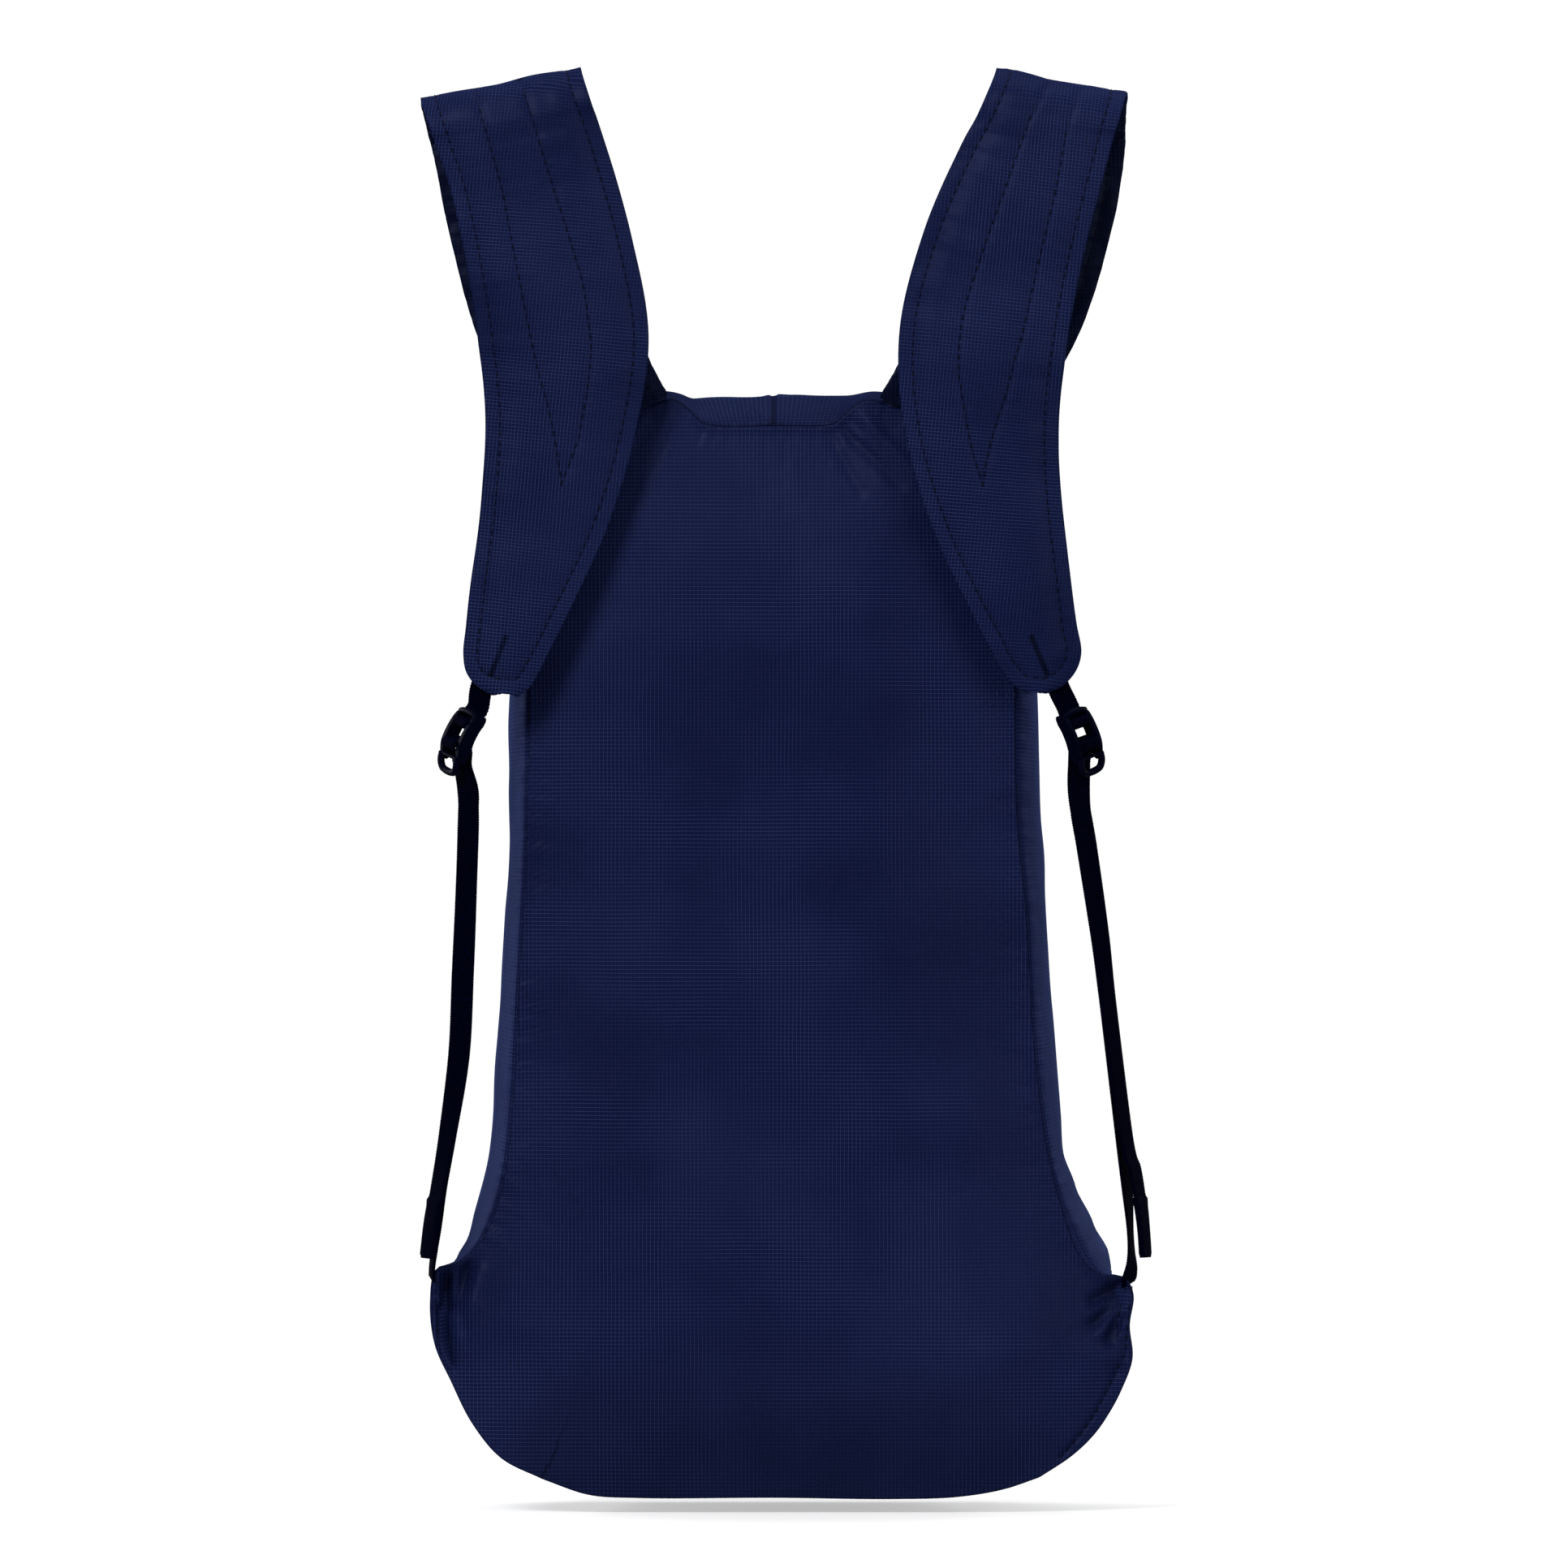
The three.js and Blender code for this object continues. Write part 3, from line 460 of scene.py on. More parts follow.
# Back panel
backPanel = {
    "columns": 190, "rows": 250,
    # from (out, up) to (out, up) as shares, then half width and height in millimetres
    "folds": [
        (-0.93, 0.205, -0.93, 0.105, 9, 1.2), (-0.9, 0.2, -0.72, 0.12, 12, 1.8),
        (0.92, 0.2, 0.8, 0.15, 10, 1.6), (0.86, 0.18, 0.6, 0.11, 14, -2.0),
        (-0.957, 0.2087, -0.958, 0.174, 3.0, 6.3), (-0.978, 0.205, -0.979, 0.146, 2.6, -2.7),
        (-0.97, 0.17, -0.953, 0.1224, 2.8, 6.0), (-0.938, 0.205, -0.92, 0.1387, 3.9, -4.5),
        (-0.894, 0.2124, -0.927, 0.1755, 3.2, 5.1), (-0.927, 0.175, -0.895, 0.146, 3.9, 3.0),
        (-0.868, 0.205, -0.885, 0.15, 5.2, -2.7), (1.01, 0.1947, 0.927, 0.179, 3.2, 5.4),
        (1.0, 0.187, 0.925, 0.17, 3.2, -3.3), (1.012, 0.19, 0.932, 0.1608, 3.4, 4.5),
        (1.017, 0.183, 0.97, 0.146, 3.2, 4.2), (1.0, 0.175, 0.95, 0.15, 2.8, -3.0),
        (-0.952, 0.204, -0.945, 0.138, 8.0, 2.6), (-0.915, 0.19, -0.86, 0.12, 6.0, -1.6),
        (1.0, 0.19, 0.93, 0.155, 9.0, 2.4), (0.97, 0.13, 0.86, 0.1, 6.0, -1.2),
        (0.99, 0.15, 1.0, 0.1, 4.0, 1.4), (0.2, 0.974, 0.36, 0.922, 2.4, 1.5),
        (0.25, 0.986, 0.41, 0.934, 2.2, -1.2), (0.15, 0.971, 0.25, 0.915, 2.2, 1.0),
        (0.158, 0.978, 0.186, 0.959, 1.3, 0.9), (0.182, 0.982, 0.229, 0.961, 1.3, 1.0),
        (0.201, 0.988, 0.257, 0.971, 1.4, 1.0), (-0.208, 0.976, -0.229, 0.959, 1.3, 0.8),
        (-0.177, 0.975, -0.186, 0.961, 1.2, 0.7), (-0.3, 0.975, -0.36, 0.935, 2.4, 0.9),
        (-0.38, 0.985, -0.46, 0.94, 2.4, -0.8), (-0.62, 0.1, 0.1, 0.055, 22, -2.5),
        (-0.05, 0.93, -0.02, 0.56, 30, 2.5), (-0.6, 0.64, -0.5, 0.42, 26, 2.2),
        (0.52, 0.7, 0.62, 0.42, 26, 2.2)],
    # stitched lines in the wings in picture points, the last one along the right gusset's seam
    "wingRows": [
        [(536, 1578), (536, 1600), (537, 1625), (540, 1645), (543, 1658), (548, 1674)],
        [(1386, 1584), (1384, 1600), (1380, 1618), (1377, 1634)],
        [(1395, 1589), (1392, 1611), (1390, 1635), (1388, 1652), (1386, 1668), (1375, 1693),
         (1361, 1721), (1343, 1752), (1324, 1777), (1308, 1796)]],
    "undulation": 0.37, "crown": 12.0, "swellReach": 92.0, "edge": 4.0, "groove": 1.3,
    "sharpFold": 9, "sunkHigh": 6.5, "sunkShade": 0.62,  # folds narrower than this get painted shade in their valleys
    "lowShade": 0.28, "lowReach": 95.0,  # painted shade on the cloth just above the bottom seam, which turns from the light
}


def seamLoop(sides, step):
    # the four seams as one closed line
    return np.concatenate([sides["bottom"].points[::step], sides["right"].points[::step],
                           sides["top"].points[::-step], sides["left"].points[::-step]])


def nearest(points, line, parts=16):
    # which point of a line is nearest to each point, and how far off it is
    found = [(off.argmin(-1), off.min(-1)) for off in (
        np.linalg.norm(part[..., None, :] - line, axis=-1) for part in np.array_split(points, parts))]
    return [np.concatenate(column) for column in zip(*found)]


def seamUv(x, z, line):
    # how far along the seam and how far from it, in metres
    at, away = nearest(np.stack([x, z], -1), line)
    return np.stack([runAlong(line)[at], away], -1) / 1000


def makeBackPanel():
    t, s = np.meshgrid(crowded(backPanel["rows"]), crowded(backPanel["columns"]), indexing="ij")
    flat = patch(near, s, t)
    x, z = flat[..., 0], flat[..., 1]
    seam = seamUv(x, z, seamLoop(near, 10))
    inside = seam[..., 1] * 1000
    edge = smooth(inside / backPanel["edge"])
    swellShare = np.clip(inside / backPanel["swellReach"], 0, 1)
    y = foldHeight(x, z, backPanel["folds"]) * edge - backPanel["crown"] * (1 - (1 - swellShare) ** 2.3)
    y += edge * backPanel["undulation"] * (lattice(x, z, 46, 3) + 0.5 * lattice(x, z * 0.7, 19, 5))
    off = nearest(flat, pictureLine(backPanel["wingRows"][-1], 240))[1]
    y += backPanel["groove"] * np.exp(-((off / backPanel["groove"]) ** 2)) * smooth(inside / 1.5)
    grid = np.stack([x, y, z], -1)
    # painted shade through the crease map: in the valleys of narrow folds, and on the cloth above the
    # bottom seam away from the wings
    sharp = [fold for fold in backPanel["folds"] if fold[4] < backPanel["sharpFold"]]
    paintedShade = smooth(foldHeight(x, z, sharp) / backPanel["sunkHigh"]) * backPanel["sunkShade"] * edge
    shade = smooth((backPanel["lowReach"] - z) / 80) * smooth((0.88 - abs(x) / bag["wingHalf"]) / 0.25)
    paintedShade = np.maximum(paintedShade, backPanel["lowShade"] * shade)
    uvs = {"weave": np.stack([x, z], -1) / 1000, "seam": seam, "crease": np.stack([paintedShade, paintedShade], -1)}
    obj = sheetMesh("backPanel", grid, bag["skin"], bagCloth, uvs, (0, 1, 0))
    return finishPiece(obj, "bag_cloth", "back_panel"), grid


# Panels that bridge the back and front seams
swell = {
    "left": [
        (0, 0), (0.235, 0), (0.265, 0.9), (0.3, 1.15), (0.36, 0.98), (0.42, 1.03), (0.47, 0.97),
        (0.54, 0.86), (0.65, 0.84), (0.71, 0.98), (0.77, 1.1), (0.85, 1), (1, 1)],
    "right": [
        (0, 0), (0.218, 0), (0.24, 1.5), (0.262, 1.85), (0.285, 1.6), (0.322, 1.16), (0.357, 0.92),
        (0.393, 0.98), (0.45, 1.07), (0.54, 0.93), (0.6, 0.97), (0.66, 1.08), (0.77, 1.12),
        (0.85, 1), (1, 1)],
}
bridge = {
    "columns": 170, "rows": 40, "ripple": 0.5,
    "creaseX": -0.7, "creaseHigh": 1.7, "lumps": 1.1, "creaseShade": 0.8,  # crease across the top panel, with painted shade along it
}


def readTable(rows, share):
    at, value = np.array(rows).T
    k = np.clip(np.searchsorted(at, share), 1, len(rows) - 1)
    return lerp(value[k - 1], value[k], smooth((share - at[k - 1]) / (at[k] - at[k - 1])))


def outFrom(p):
    core = np.clip(p[..., 1], 0.12 * bag["height"], 0.81 * bag["height"])
    return unit(np.stack([p[..., 0], p[..., 1] - core], -1))


def topSwell(t, b, f):
    level = b[..., 1] + (f[..., 1] - b[..., 1]) * 0.35
    half = bag["wingHalf"]
    crest = 1.0035 * bag["height"] - bag["topDrop"] * smooth((abs(b[..., 0]) - 0.31 * half) / (0.36 * half))
    rise = (crest - level) / (0.97 * outFrom(b)[..., 1])
    return bag["sideBulge"] + (rise - bag["sideBulge"]) * smooth(np.minimum(t, 1 - t) / 0.22)


def bridgePoints(name, t, v):
    b, f = near[name].at(t), far[name].at(t)
    pinch, bulge, roll = 1 - smooth((t - 0.2) / 0.05), 0.0, 1.0
    if name == "top":
        pinch, bulge = 0.0, topSwell(t, b, f)
    elif name == "bottom":
        pinch = 0.25
    else:
        bulge, roll = bag["sideBulge"] * readTable(swell[name], t), 0.8
    out, farOut = outFrom(b), outFrom(f)
    nearY = bag["skin"] / 2 + bag["sewn"]
    farY = depthAt(f[..., 1]) - bag["skin"] / 2 - bag["sewn"]
    b, f = b - out * bag["skin"] * 0.4, f - farOut * bag["skin"] * 0.4
    w = 1 - (1 - v) ** (1 + 3.2 * pinch)
    flat = b + (f - b) * w[..., None] + out * (bulge * np.sin(np.pi * v ** 0.8).clip(0) ** roll)[..., None]
    return np.stack([flat[..., 0], nearY + (farY - nearY) * v, flat[..., 1]], -1)


def makeBridge(name, label, node, material):
    trim = bag["cornerTrim"] / near[name].length
    t, v = np.meshgrid(np.linspace(trim, 1 - trim, bridge["columns"]),
                       np.linspace(0, 1, bridge["rows"]), indexing="ij")
    span = v.copy()
    if name == "top":
        gape = smooth((bag["mouthHalf"] - abs(t - 0.5)) / 0.14)
        span = v * (1 - bag["mouthDrop"] / (bag["depth"] * bag["topDepthShare"]) * gape)
    grid = bridgePoints(name, t, span)
    along, across = t * near[name].length, runAlong(grid, 1)
    away, uvs = across, {}
    if name == "top":
        off = grid[..., 0] - bridge["creaseX"]
        crease = np.exp(-((off / 5.0) ** 2)) * 0.5 - np.exp(-((off / 1.3) ** 2))
        gather = lattice(across, off * 0.35, 3.4, 31) * np.exp(-abs(off) / 9)
        lumps = lattice(grid[..., 0] * 0.8 + across, across * 0.5, 12, 33) * np.sin(np.pi * v)
        fade = np.sin(np.pi * np.clip(v * 1.3 + 0.12, 0, 1))
        grid[..., 2] += (bridge["creaseHigh"] * crease + gather) * fade
        grid[..., 2] += bridge["lumps"] * lumps
    ripple = bridge["ripple"] * lattice(along, across * 0.6, 22, len(label)) * np.sin(np.pi * v)
    grid = grid + gridNormals(grid) * ripple[..., None]
    if name == "top":
        off = grid[..., 0] - bridge["creaseX"]
        away = np.minimum(across, abs(off))
        # painted shade along the top panel's crease, carried by the crease map
        shade = bridge["creaseShade"] * np.exp(-(off / 0.9) ** 2)
        uvs["crease"] = np.stack([shade, shade], -1)
    uvs["weave"] = np.stack([along, across], -1) / 1000
    uvs["seam"] = np.stack([along + across * (away < across), away], -1) / 1000
    obj = sheetMesh(label, grid, bag["skin"], material, uvs)
    return finishPiece(obj, "bag_cloth", node), grid


def makeFrontPanel():
    t, s = np.meshgrid(np.linspace(0, 1, 110), np.linspace(0, 1, 80), indexing="ij")
    flat = patch(far, s, t)
    x, z = flat[..., 0], flat[..., 1]
    edge = smooth(np.minimum(np.minimum(s, 1 - s), np.minimum(t, 1 - t)) / 0.08)
    y = depthAt(z) + bag["frontCrown"] * pillow(s, t, 2.2)
    y += edge * 0.9 * (lattice(x, z * 0.6, 40, 11) + 0.5 * lattice(x, z, 17, 12))
    grid = np.stack([x, y, z], -1)
    uvs = {"weave": np.stack([x, z], -1) / 1000, "seam": seamUv(x, z, seamLoop(far, 16))}
    obj = sheetMesh("frontPanel", grid, bag["skin"], bagCloth, uvs, (0, 1, 0))
    return finishPiece(obj, "bag_cloth", "front_panel"), grid


# Shoulder straps
strapTables = {
    "left": {
        "side": -1,
        "rear": [
            (0.657, 0.949, 0.309, 1.003, -1.2), (0.843, 1.04, 0.37, 1.04, 0.5),
            (0.944, 1.145, 0.473, 1.167, 1.8), (0.991, 1.217, 0.513, 1.238, 2)],
        "crest": (1.036, 1.2745, 0.569, 1.3015),
        "front": [
            (0.986, 1.231, 0.521, 1.257, -26.6), (0.936, 1.183, 0.485, 1.223, -27),
            (0.889, 1.112, 0.414, 1.144, -26.5), (0.858, 1.046, 0.367, 1.055, -26),
            (0.839, 0.982, 0.405, 0.968, -25), (0.851, 0.909, 0.486, 0.883, -24),
            (0.881, 0.834, 0.595, 0.809, -23), (0.896, 0.793, 0.647, 0.776, -22),
            (0.904, 0.769, 0.664, 0.766, -21.5), (0.895, 0.752, 0.689, 0.751, -21),
            (0.867, 0.741, 0.713, 0.739, -21), (0.817, 0.733, 0.75, 0.731, -21)],
        "channels": [
            [
                (584, 107), (593, 140), (605, 182), (621, 241), (630, 290), (642, 351), (654, 412),
                (664, 458), (676, 501), (684, 540), (693, 597)],
            [
                (638, 97), (648, 121), (664, 173), (679, 222), (694, 268), (708, 314), (719, 351),
                (725, 391), (729, 427), (726, 470), (719, 513), (714, 540), (693, 597)]],
        "barTack": [(625, 783), (605, 834)],
    },
    "right": {
        "side": 1,
        "rear": [
            (0.652, 0.949, 0.305, 1.003, -1.2), (0.873, 1.052, 0.369, 1.04, 0.5),
            (0.984, 1.16, 0.508, 1.192, 1.8), (1.018, 1.225, 0.582, 1.243, 2)],
        "crest": (1.024, 1.2785, 0.65, 1.2995),
        "front": [
            (0.983, 1.2375, 0.577, 1.25, -26.6), (0.936, 1.182, 0.534, 1.225, -27),
            (0.879, 1.107, 0.433, 1.152, -26.5), (0.842, 1.039, 0.361, 1.061, -26),
            (0.823, 0.978, 0.378, 0.968, -25), (0.83, 0.909, 0.463, 0.878, -24),
            (0.859, 0.832, 0.569, 0.807, -23), (0.873, 0.796, 0.631, 0.77, -22),
            (0.887, 0.77, 0.64, 0.763, -21.5), (0.873, 0.754, 0.659, 0.754, -21),
            (0.838, 0.741, 0.696, 0.74, -21), (0.787, 0.733, 0.733, 0.733, -21)],
        "channels": [
            [
                (1296, 99), (1268, 149), (1241, 225), (1209, 315), (1186, 391), (1181, 434),
                (1181, 462), (1188, 508), (1197, 556), (1210, 598)],
            [
                (1332, 106), (1312, 168), (1300, 234), (1277, 331), (1257, 420), (1249, 446),
                (1238, 489), (1229, 515), (1215, 568), (1210, 598)]],
        "barTack": [(1269, 783), (1290, 833)],
    },
}
strapMake = {
    "padThick": 5.2, "flangeThick": 2.0, "crestRadius": 14.0, "crestY": -12.0,
    "cup": 2.2, "widths": [-1, -0.82, -0.62, -0.22, 0.22, 0.62, 0.82, 1],
    "rings": 300, "columns": 61, "edgeStitch": 6.4, "channelDeep": 0.34, "edgeDeep": 0.3,
    "wave": 0.45, "gathers": 1.7, "lumps": 0.35, "wrinkles": 0.55, "crestStep": 19.0,
}


def strapRows(table):
    shares = np.array(strapMake["widths"])
    half, height = bag["wingHalf"], bag["height"]

    def edgeRow(values, y, cup=0):
        k = (shares + 1) / 2
        x = table["side"] * half * lerp(values[0], values[2], k)
        return np.stack([x, y + cup * shares ** 2, height * lerp(values[1], values[3], k)], -1)

    rows = [edgeRow(row, row[4]) for row in table["rear"]]
    top = near["top"].points
    rows[0][:, 2] = np.maximum(rows[0][:, 2], np.interp(rows[0][:, 0], *top.T) + bag["sewn"])
    # over the shoulder the edges keep to the outline of the limb they lead to
    radius, crest = strapMake["crestRadius"], table["crest"]
    for k, angle in enumerate(np.linspace(0, np.pi, 9)):
        limb = table["rear"][-1] if k < 4 else table["front"][0]
        drop = (radius + strapMake["padThick"] / 2 - radius * math.sin(angle)) / height
        edge = list(crest)
        for at in (0, 2):
            edge[at] += (limb[at] - crest[at]) * drop / (crest[at + 1] - limb[at + 1])
            edge[at + 1] -= drop
        rows.append(edgeRow(edge, strapMake["crestY"] + radius * math.cos(angle)))
    return np.array(rows + [edgeRow(row, row[4], strapMake["cup"]) for row in table["front"]])


def makeStrap(side):
    table, make = strapTables[side], strapMake
    rows = strapRows(table)
    share = np.linspace(0, 1, make["rings"])
    lines = np.stack([throughPoints(rows[:, j], share, True) for j in range(rows.shape[1])], 1)
    at = np.linspace(-1, 1, make["columns"])
    grid = np.stack([[np.interp(at, make["widths"], ring[:, k]) for k in range(3)] for ring in lines])
    grid = grid.transpose(0, 2, 1)
    across = runAlong(grid, 1)
    inside = nearest(grid, np.concatenate([grid[:, 0], grid[:, -1], grid[-1]]))[1]
    middle = make["columns"] // 2
    along = np.repeat(runAlong(grid[:, middle])[:, None], make["columns"], 1)
    front = grid[..., 1] < make["crestY"]
    off = np.minimum(*[nearest(grid[..., [0, 2]], pictureLine(line, 260))[1] for line in table["channels"]])
    channel = np.where(front, off, 1e9)
    flange, full = make["flangeThick"], make["padThick"]
    rise = smooth((inside - make["edgeStitch"]) / 9.0) ** 0.7
    thick = flange + (full - flange) * rise * smooth(along / 24)
    thick *= 1 - make["channelDeep"] * np.exp(-((channel / 1.9) ** 2)) * smooth((inside - 4) / 6)
    thick *= 1 - make["edgeDeep"] * np.exp(-(((inside - make["edgeStitch"]) / 1.1) ** 2))
    # waves along the edge, gathers on the rear limb, wrinkles in patches on the front limb
    wave = np.sin(along / 8.5 + 2 * lattice(along, across, 40, 7))
    wave *= smooth((make["edgeStitch"] - inside) / 5)
    gathers = lattice(along, across * 0.25, 5.5, 8) + 0.5 * lattice(along, across * 0.3, 2.7, 18)
    gathers *= smooth((15 - inside) / 15) * smooth((grid[..., 1] - make["crestY"]) / 6)
    wrinkles = lattice(along, across * 0.3, 6.5, 12) * smooth(1.6 * lattice(along, across, 34, 15))
    wrinkles *= front * smooth((inside - 2) / 4)
    relief = (make["wave"] * wave + make["gathers"] * gathers
              + (make["lumps"] * lattice(along, across, 24, 9) + make["wrinkles"] * wrinkles))
    grid = grid + gridNormals(grid) * relief[..., None]
    crown = np.exp(-((grid[..., 1] - make["crestY"]) / 9) ** 2) * smooth((grid[..., 2] - 560) / 20)
    lift = lattice(across, along * 0.2, make["crestStep"], 21) - 0.3
    grid[..., 2] += crown * lift * smooth(inside / 6)
    grid[..., 2] += crown * (full - flange) / 2 * (1 - rise)
    climb = np.gradient(grid[:, middle, 2], along[:, 0])
    square = along + (grid[..., 2] - grid[:, middle:middle + 1, 2]) * np.clip(climb, -1, 1)[:, None]
    toSeam = np.minimum(abs(inside - make["edgeStitch"]), channel)
    uvs = {"weave": np.stack([grid[..., 0], square], -1) / 1000,
           "seam": np.stack([along, toSeam], -1) / 1000}
    obj = sheetMesh("shoulderStrap" + side.title(), grid, thick, strapCloth, uvs)
    # the side that faces the other limb takes a darker copy of the strap cloth: painted shade between the
    # two limbs
    obj.data.materials.append(shadedStrapCloth)
    cells = (grid.shape[0] - 1) * (grid.shape[1] - 1)
    shadedFaces = np.zeros(len(obj.data.polygons), int)
    away = gridNormals(grid)[-40:, :, 1].mean() > 0
    shadedFaces[:cells], shadedFaces[cells:2 * cells] = away, not away
    obj.data.polygons.foreach_set("material_index", shadedFaces)
    finishPiece(obj, "strap_cloth", "shoulder_strap_" + side)
    return {"grid": grid, "thick": thick, "inside": inside, "front": front}


# Stitches, made in Geometry Nodes along edge-only paths
thread = {"pitch": 4.3, "long": 3.1, "thick": 0.56, "tack": 0.44,
          "lift": 0.1, "overStrap": 0.15, "overPanel": 0.12}


def nodeTree(name, sockets):
    tree = bpy.data.node_groups.new(name, "GeometryNodeTree")
    tree.interface.new_socket(name="Geometry", in_out="INPUT", socket_type="NodeSocketGeometry")
    for label, kind in sockets:
        tree.interface.new_socket(name=label, in_out="INPUT", socket_type=kind)
    tree.interface.new_socket(name="Geometry", in_out="OUTPUT", socket_type="NodeSocketGeometry")
    return tree, tree.nodes.new("NodeGroupInput"), tree.nodes.new("NodeGroupOutput"), Wires(tree)


def finishThread(w, source, sink, mesh):
    soft = w.out("GeometryNodeSetShadeSmooth", {"Geometry": mesh})
    w.put(sink.inputs["Geometry"], w.out("GeometryNodeSetMaterial", {
        "Geometry": soft, "Material": source.outputs["Thread"]}))


def makeStitchTree():
    # one small thread capsule per stitch, lying along the path
    tree, source, sink, w = nodeTree("stitchRow", [
        ("Pitch", "NodeSocketFloat"), ("Long", "NodeSocketFloat"), ("Thick", "NodeSocketFloat"),
        ("Thread", "NodeSocketMaterial")])
    given = source.outputs
    line = w.out("GeometryNodeMeshToCurve", {"Mesh": given["Geometry"]})
    even = w.out("GeometryNodeResampleCurve", {"Curve": line, "Length": given["Pitch"]}, mode="LENGTH")
    capsule = w.out("GeometryNodeMeshUVSphere", {"Segments": 8, "Rings": 6, "Radius": 0.5})
    size = w.out("ShaderNodeCombineXYZ", {"X": given["Thick"], "Y": given["Thick"], "Z": given["Long"]})
    shaped = w.out("GeometryNodeTransform", {"Geometry": capsule, "Scale": size})
    tangent = w.out("GeometryNodeInputTangent")
    turn = w.out("FunctionNodeAlignRotationToVector", {"Vector": tangent}, axis="Z")
    vary = w.out("FunctionNodeRandomValue", {
        "Min": (0.9, 0.9, 0.86), "Max": (1.08, 1.08, 1.04), "Seed": 5}, data_type="FLOAT_VECTOR")
    placed = w.out("GeometryNodeInstanceOnPoints", {
        "Points": even, "Instance": shaped, "Rotation": turn, "Scale": vary})
    finishThread(w, source, sink, w.out("GeometryNodeRealizeInstances", {"Geometry": placed}))
    return tree


def makeThreadTree():
    # a thread laid along the whole path, for bar tacks
    tree, source, sink, w = nodeTree("barTackThread", [
        ("Thick", "NodeSocketFloat"), ("Thread", "NodeSocketMaterial")])
    line = w.out("GeometryNodeMeshToCurve", {"Mesh": source.outputs["Geometry"]})
    radius = w.math("MULTIPLY", source.outputs["Thick"], 0.5)
    ring = w.out("GeometryNodeCurvePrimitiveCircle", {"Resolution": 6, "Radius": radius})
    finishThread(w, source, sink, w.out("GeometryNodeCurveToMesh", {
        "Curve": line, "Profile Curve": ring, "Fill Caps": True}))
    return tree


stitchTree, threadTree = makeStitchTree(), makeThreadTree()


def sewn(name, paths, tree, slotName, **values):
    # paths in bag millimetres, turned into thread by a tree
    points, edges = [], []
    for path in paths:
        edges += [(len(points) + k, len(points) + k + 1) for k in range(len(path) - 1)]
        points += list(path)
    mesh = bpy.data.meshes.new(name)
    mesh.from_pydata(inFrame(points).tolist(), edges, [])
    draft = linked(name, mesh)
    modifier = draft.modifiers.new("sewing", "NODES")
    modifier.node_group = tree
    for item in tree.interface.items_tree:
        if item.item_type == "SOCKET" and item.in_out == "INPUT" and item.name in values:
            modifier[item.identifier] = values[item.name]
    made = bpy.data.meshes.new_from_object(draft.evaluated_get(bpy.context.evaluated_depsgraph_get()))
    bpy.data.objects.remove(draft)
    made.name = name
    return finishPiece(linked(name, made), slotName)


def stitchRows(name, paths, slotName):
    return sewn(name, paths, stitchTree, slotName, Pitch=thread["pitch"] / 1000, Long=thread["long"] / 1000,
                Thick=thread["thick"] / 1000, Thread=stitchLook)


def zigzag(start, end, wide, step):
    # flat zigzag between two picture points, as picture points
    a, b = np.array(start, float), np.array(end, float)
    run = b - a
    side = np.array([-run[1], run[0]]) / np.linalg.norm(run)
    count = int(np.linalg.norm(run) / step)
    return [a + run * k / count + side * wide / 2 * (1 if k % 2 else -1) for k in range(count + 1)]


def surfaceAt(surface, flatPoints):
    # flat points of the picture plane, laid on a surface by its four nearest points
    flat = surface.reshape(-1, 3)
    made = []
    for x, z in flatPoints:
        gap = (flat[:, 0] - x) ** 2 + (flat[:, 2] - z) ** 2
        four = np.argpartition(gap, 4)[:4]
        weight = 1 / (gap[four] + 1e-6)
        made.append((x, (flat[four, 1] * weight).sum() / weight.sum(), z))
    return np.array(made)


def strapStitches(side, strap):
    table, reach = strapTables[side], strapMake["edgeStitch"]
    grid, thick, inside, front = strap["grid"], strap["thick"], strap["inside"], strap["front"]
    normals = gridNormals(grid)
    lines = []
    for face in (1, -1):
        skin = grid + normals * (face * (thick / 2 + thread["lift"]))[..., None]
        rows = []
        for near, points in ((inside, skin), (inside[:, ::-1], skin[:, ::-1])):
            # where each cross row gets as far from the edge as the stitches run
            edge = []
            for row, point in zip(near[4:], points[4:]):
                if row.max() < reach:
                    break
                k = int(np.argmax(row >= reach))
                edge.append(lerp(point[k - 1], point[k], (reach - row[k - 1]) / (row[k] - row[k - 1])))
            rows.append(edge)
        lines.append(rows[0] + rows[1][::-1])
        shown = skin[front & (grid[..., 1] < strapMake["crestY"] - 9)]
        lines += [surfaceAt(shown, pictureLine(channel[1:], 120)) for channel in table["channels"]]
    stitchRows("strapStitches" + side.title(), lines, "strap_cloth")
    skins = [grid + normals * (face * (thick / 2 + thread["overStrap"]))[..., None] for face in (-1, 1)]
    skin = min(skins, key=lambda points: points[-20, 30, 1])  # the side towards the viewer
    shown = skin[front & (grid[..., 1] < strapMake["crestY"] - 6)]
    path = [fromPhoto(*p) for p in zigzag(*table["barTack"], 6.5, 1.25)]
    sewn("barTack" + side.title(), [surfaceAt(shown, path)], threadTree, "strap_cloth",
         Thick=thread["tack"] / 1000, Thread=stitchLook)


# Webbing and ladder locks
webbing = {
    "width": 10.0, "thick": 1.3, "gap": 0.3, "rib": 1.05, "ribHigh": 0.16, "edgeTooth": 0.24,
    "hem": 2.7, "hemLong": 27.0, "hemBump": 1.1, "endWidth": 0.78,
    # outline of a cross section, as shares of width and thickness
    "ring": [(-0.5, -0.18), (-0.47, -0.42), (-0.36, -0.5), (-0.12, -0.5), (0.12, -0.5), (0.36, -0.5),
             (0.47, -0.42), (0.5, -0.18), (0.5, 0.18), (0.47, 0.42), (0.36, 0.5), (0.12, 0.5),
             (-0.12, 0.5), (-0.36, 0.5), (-0.47, 0.42), (-0.5, 0.18)],
}
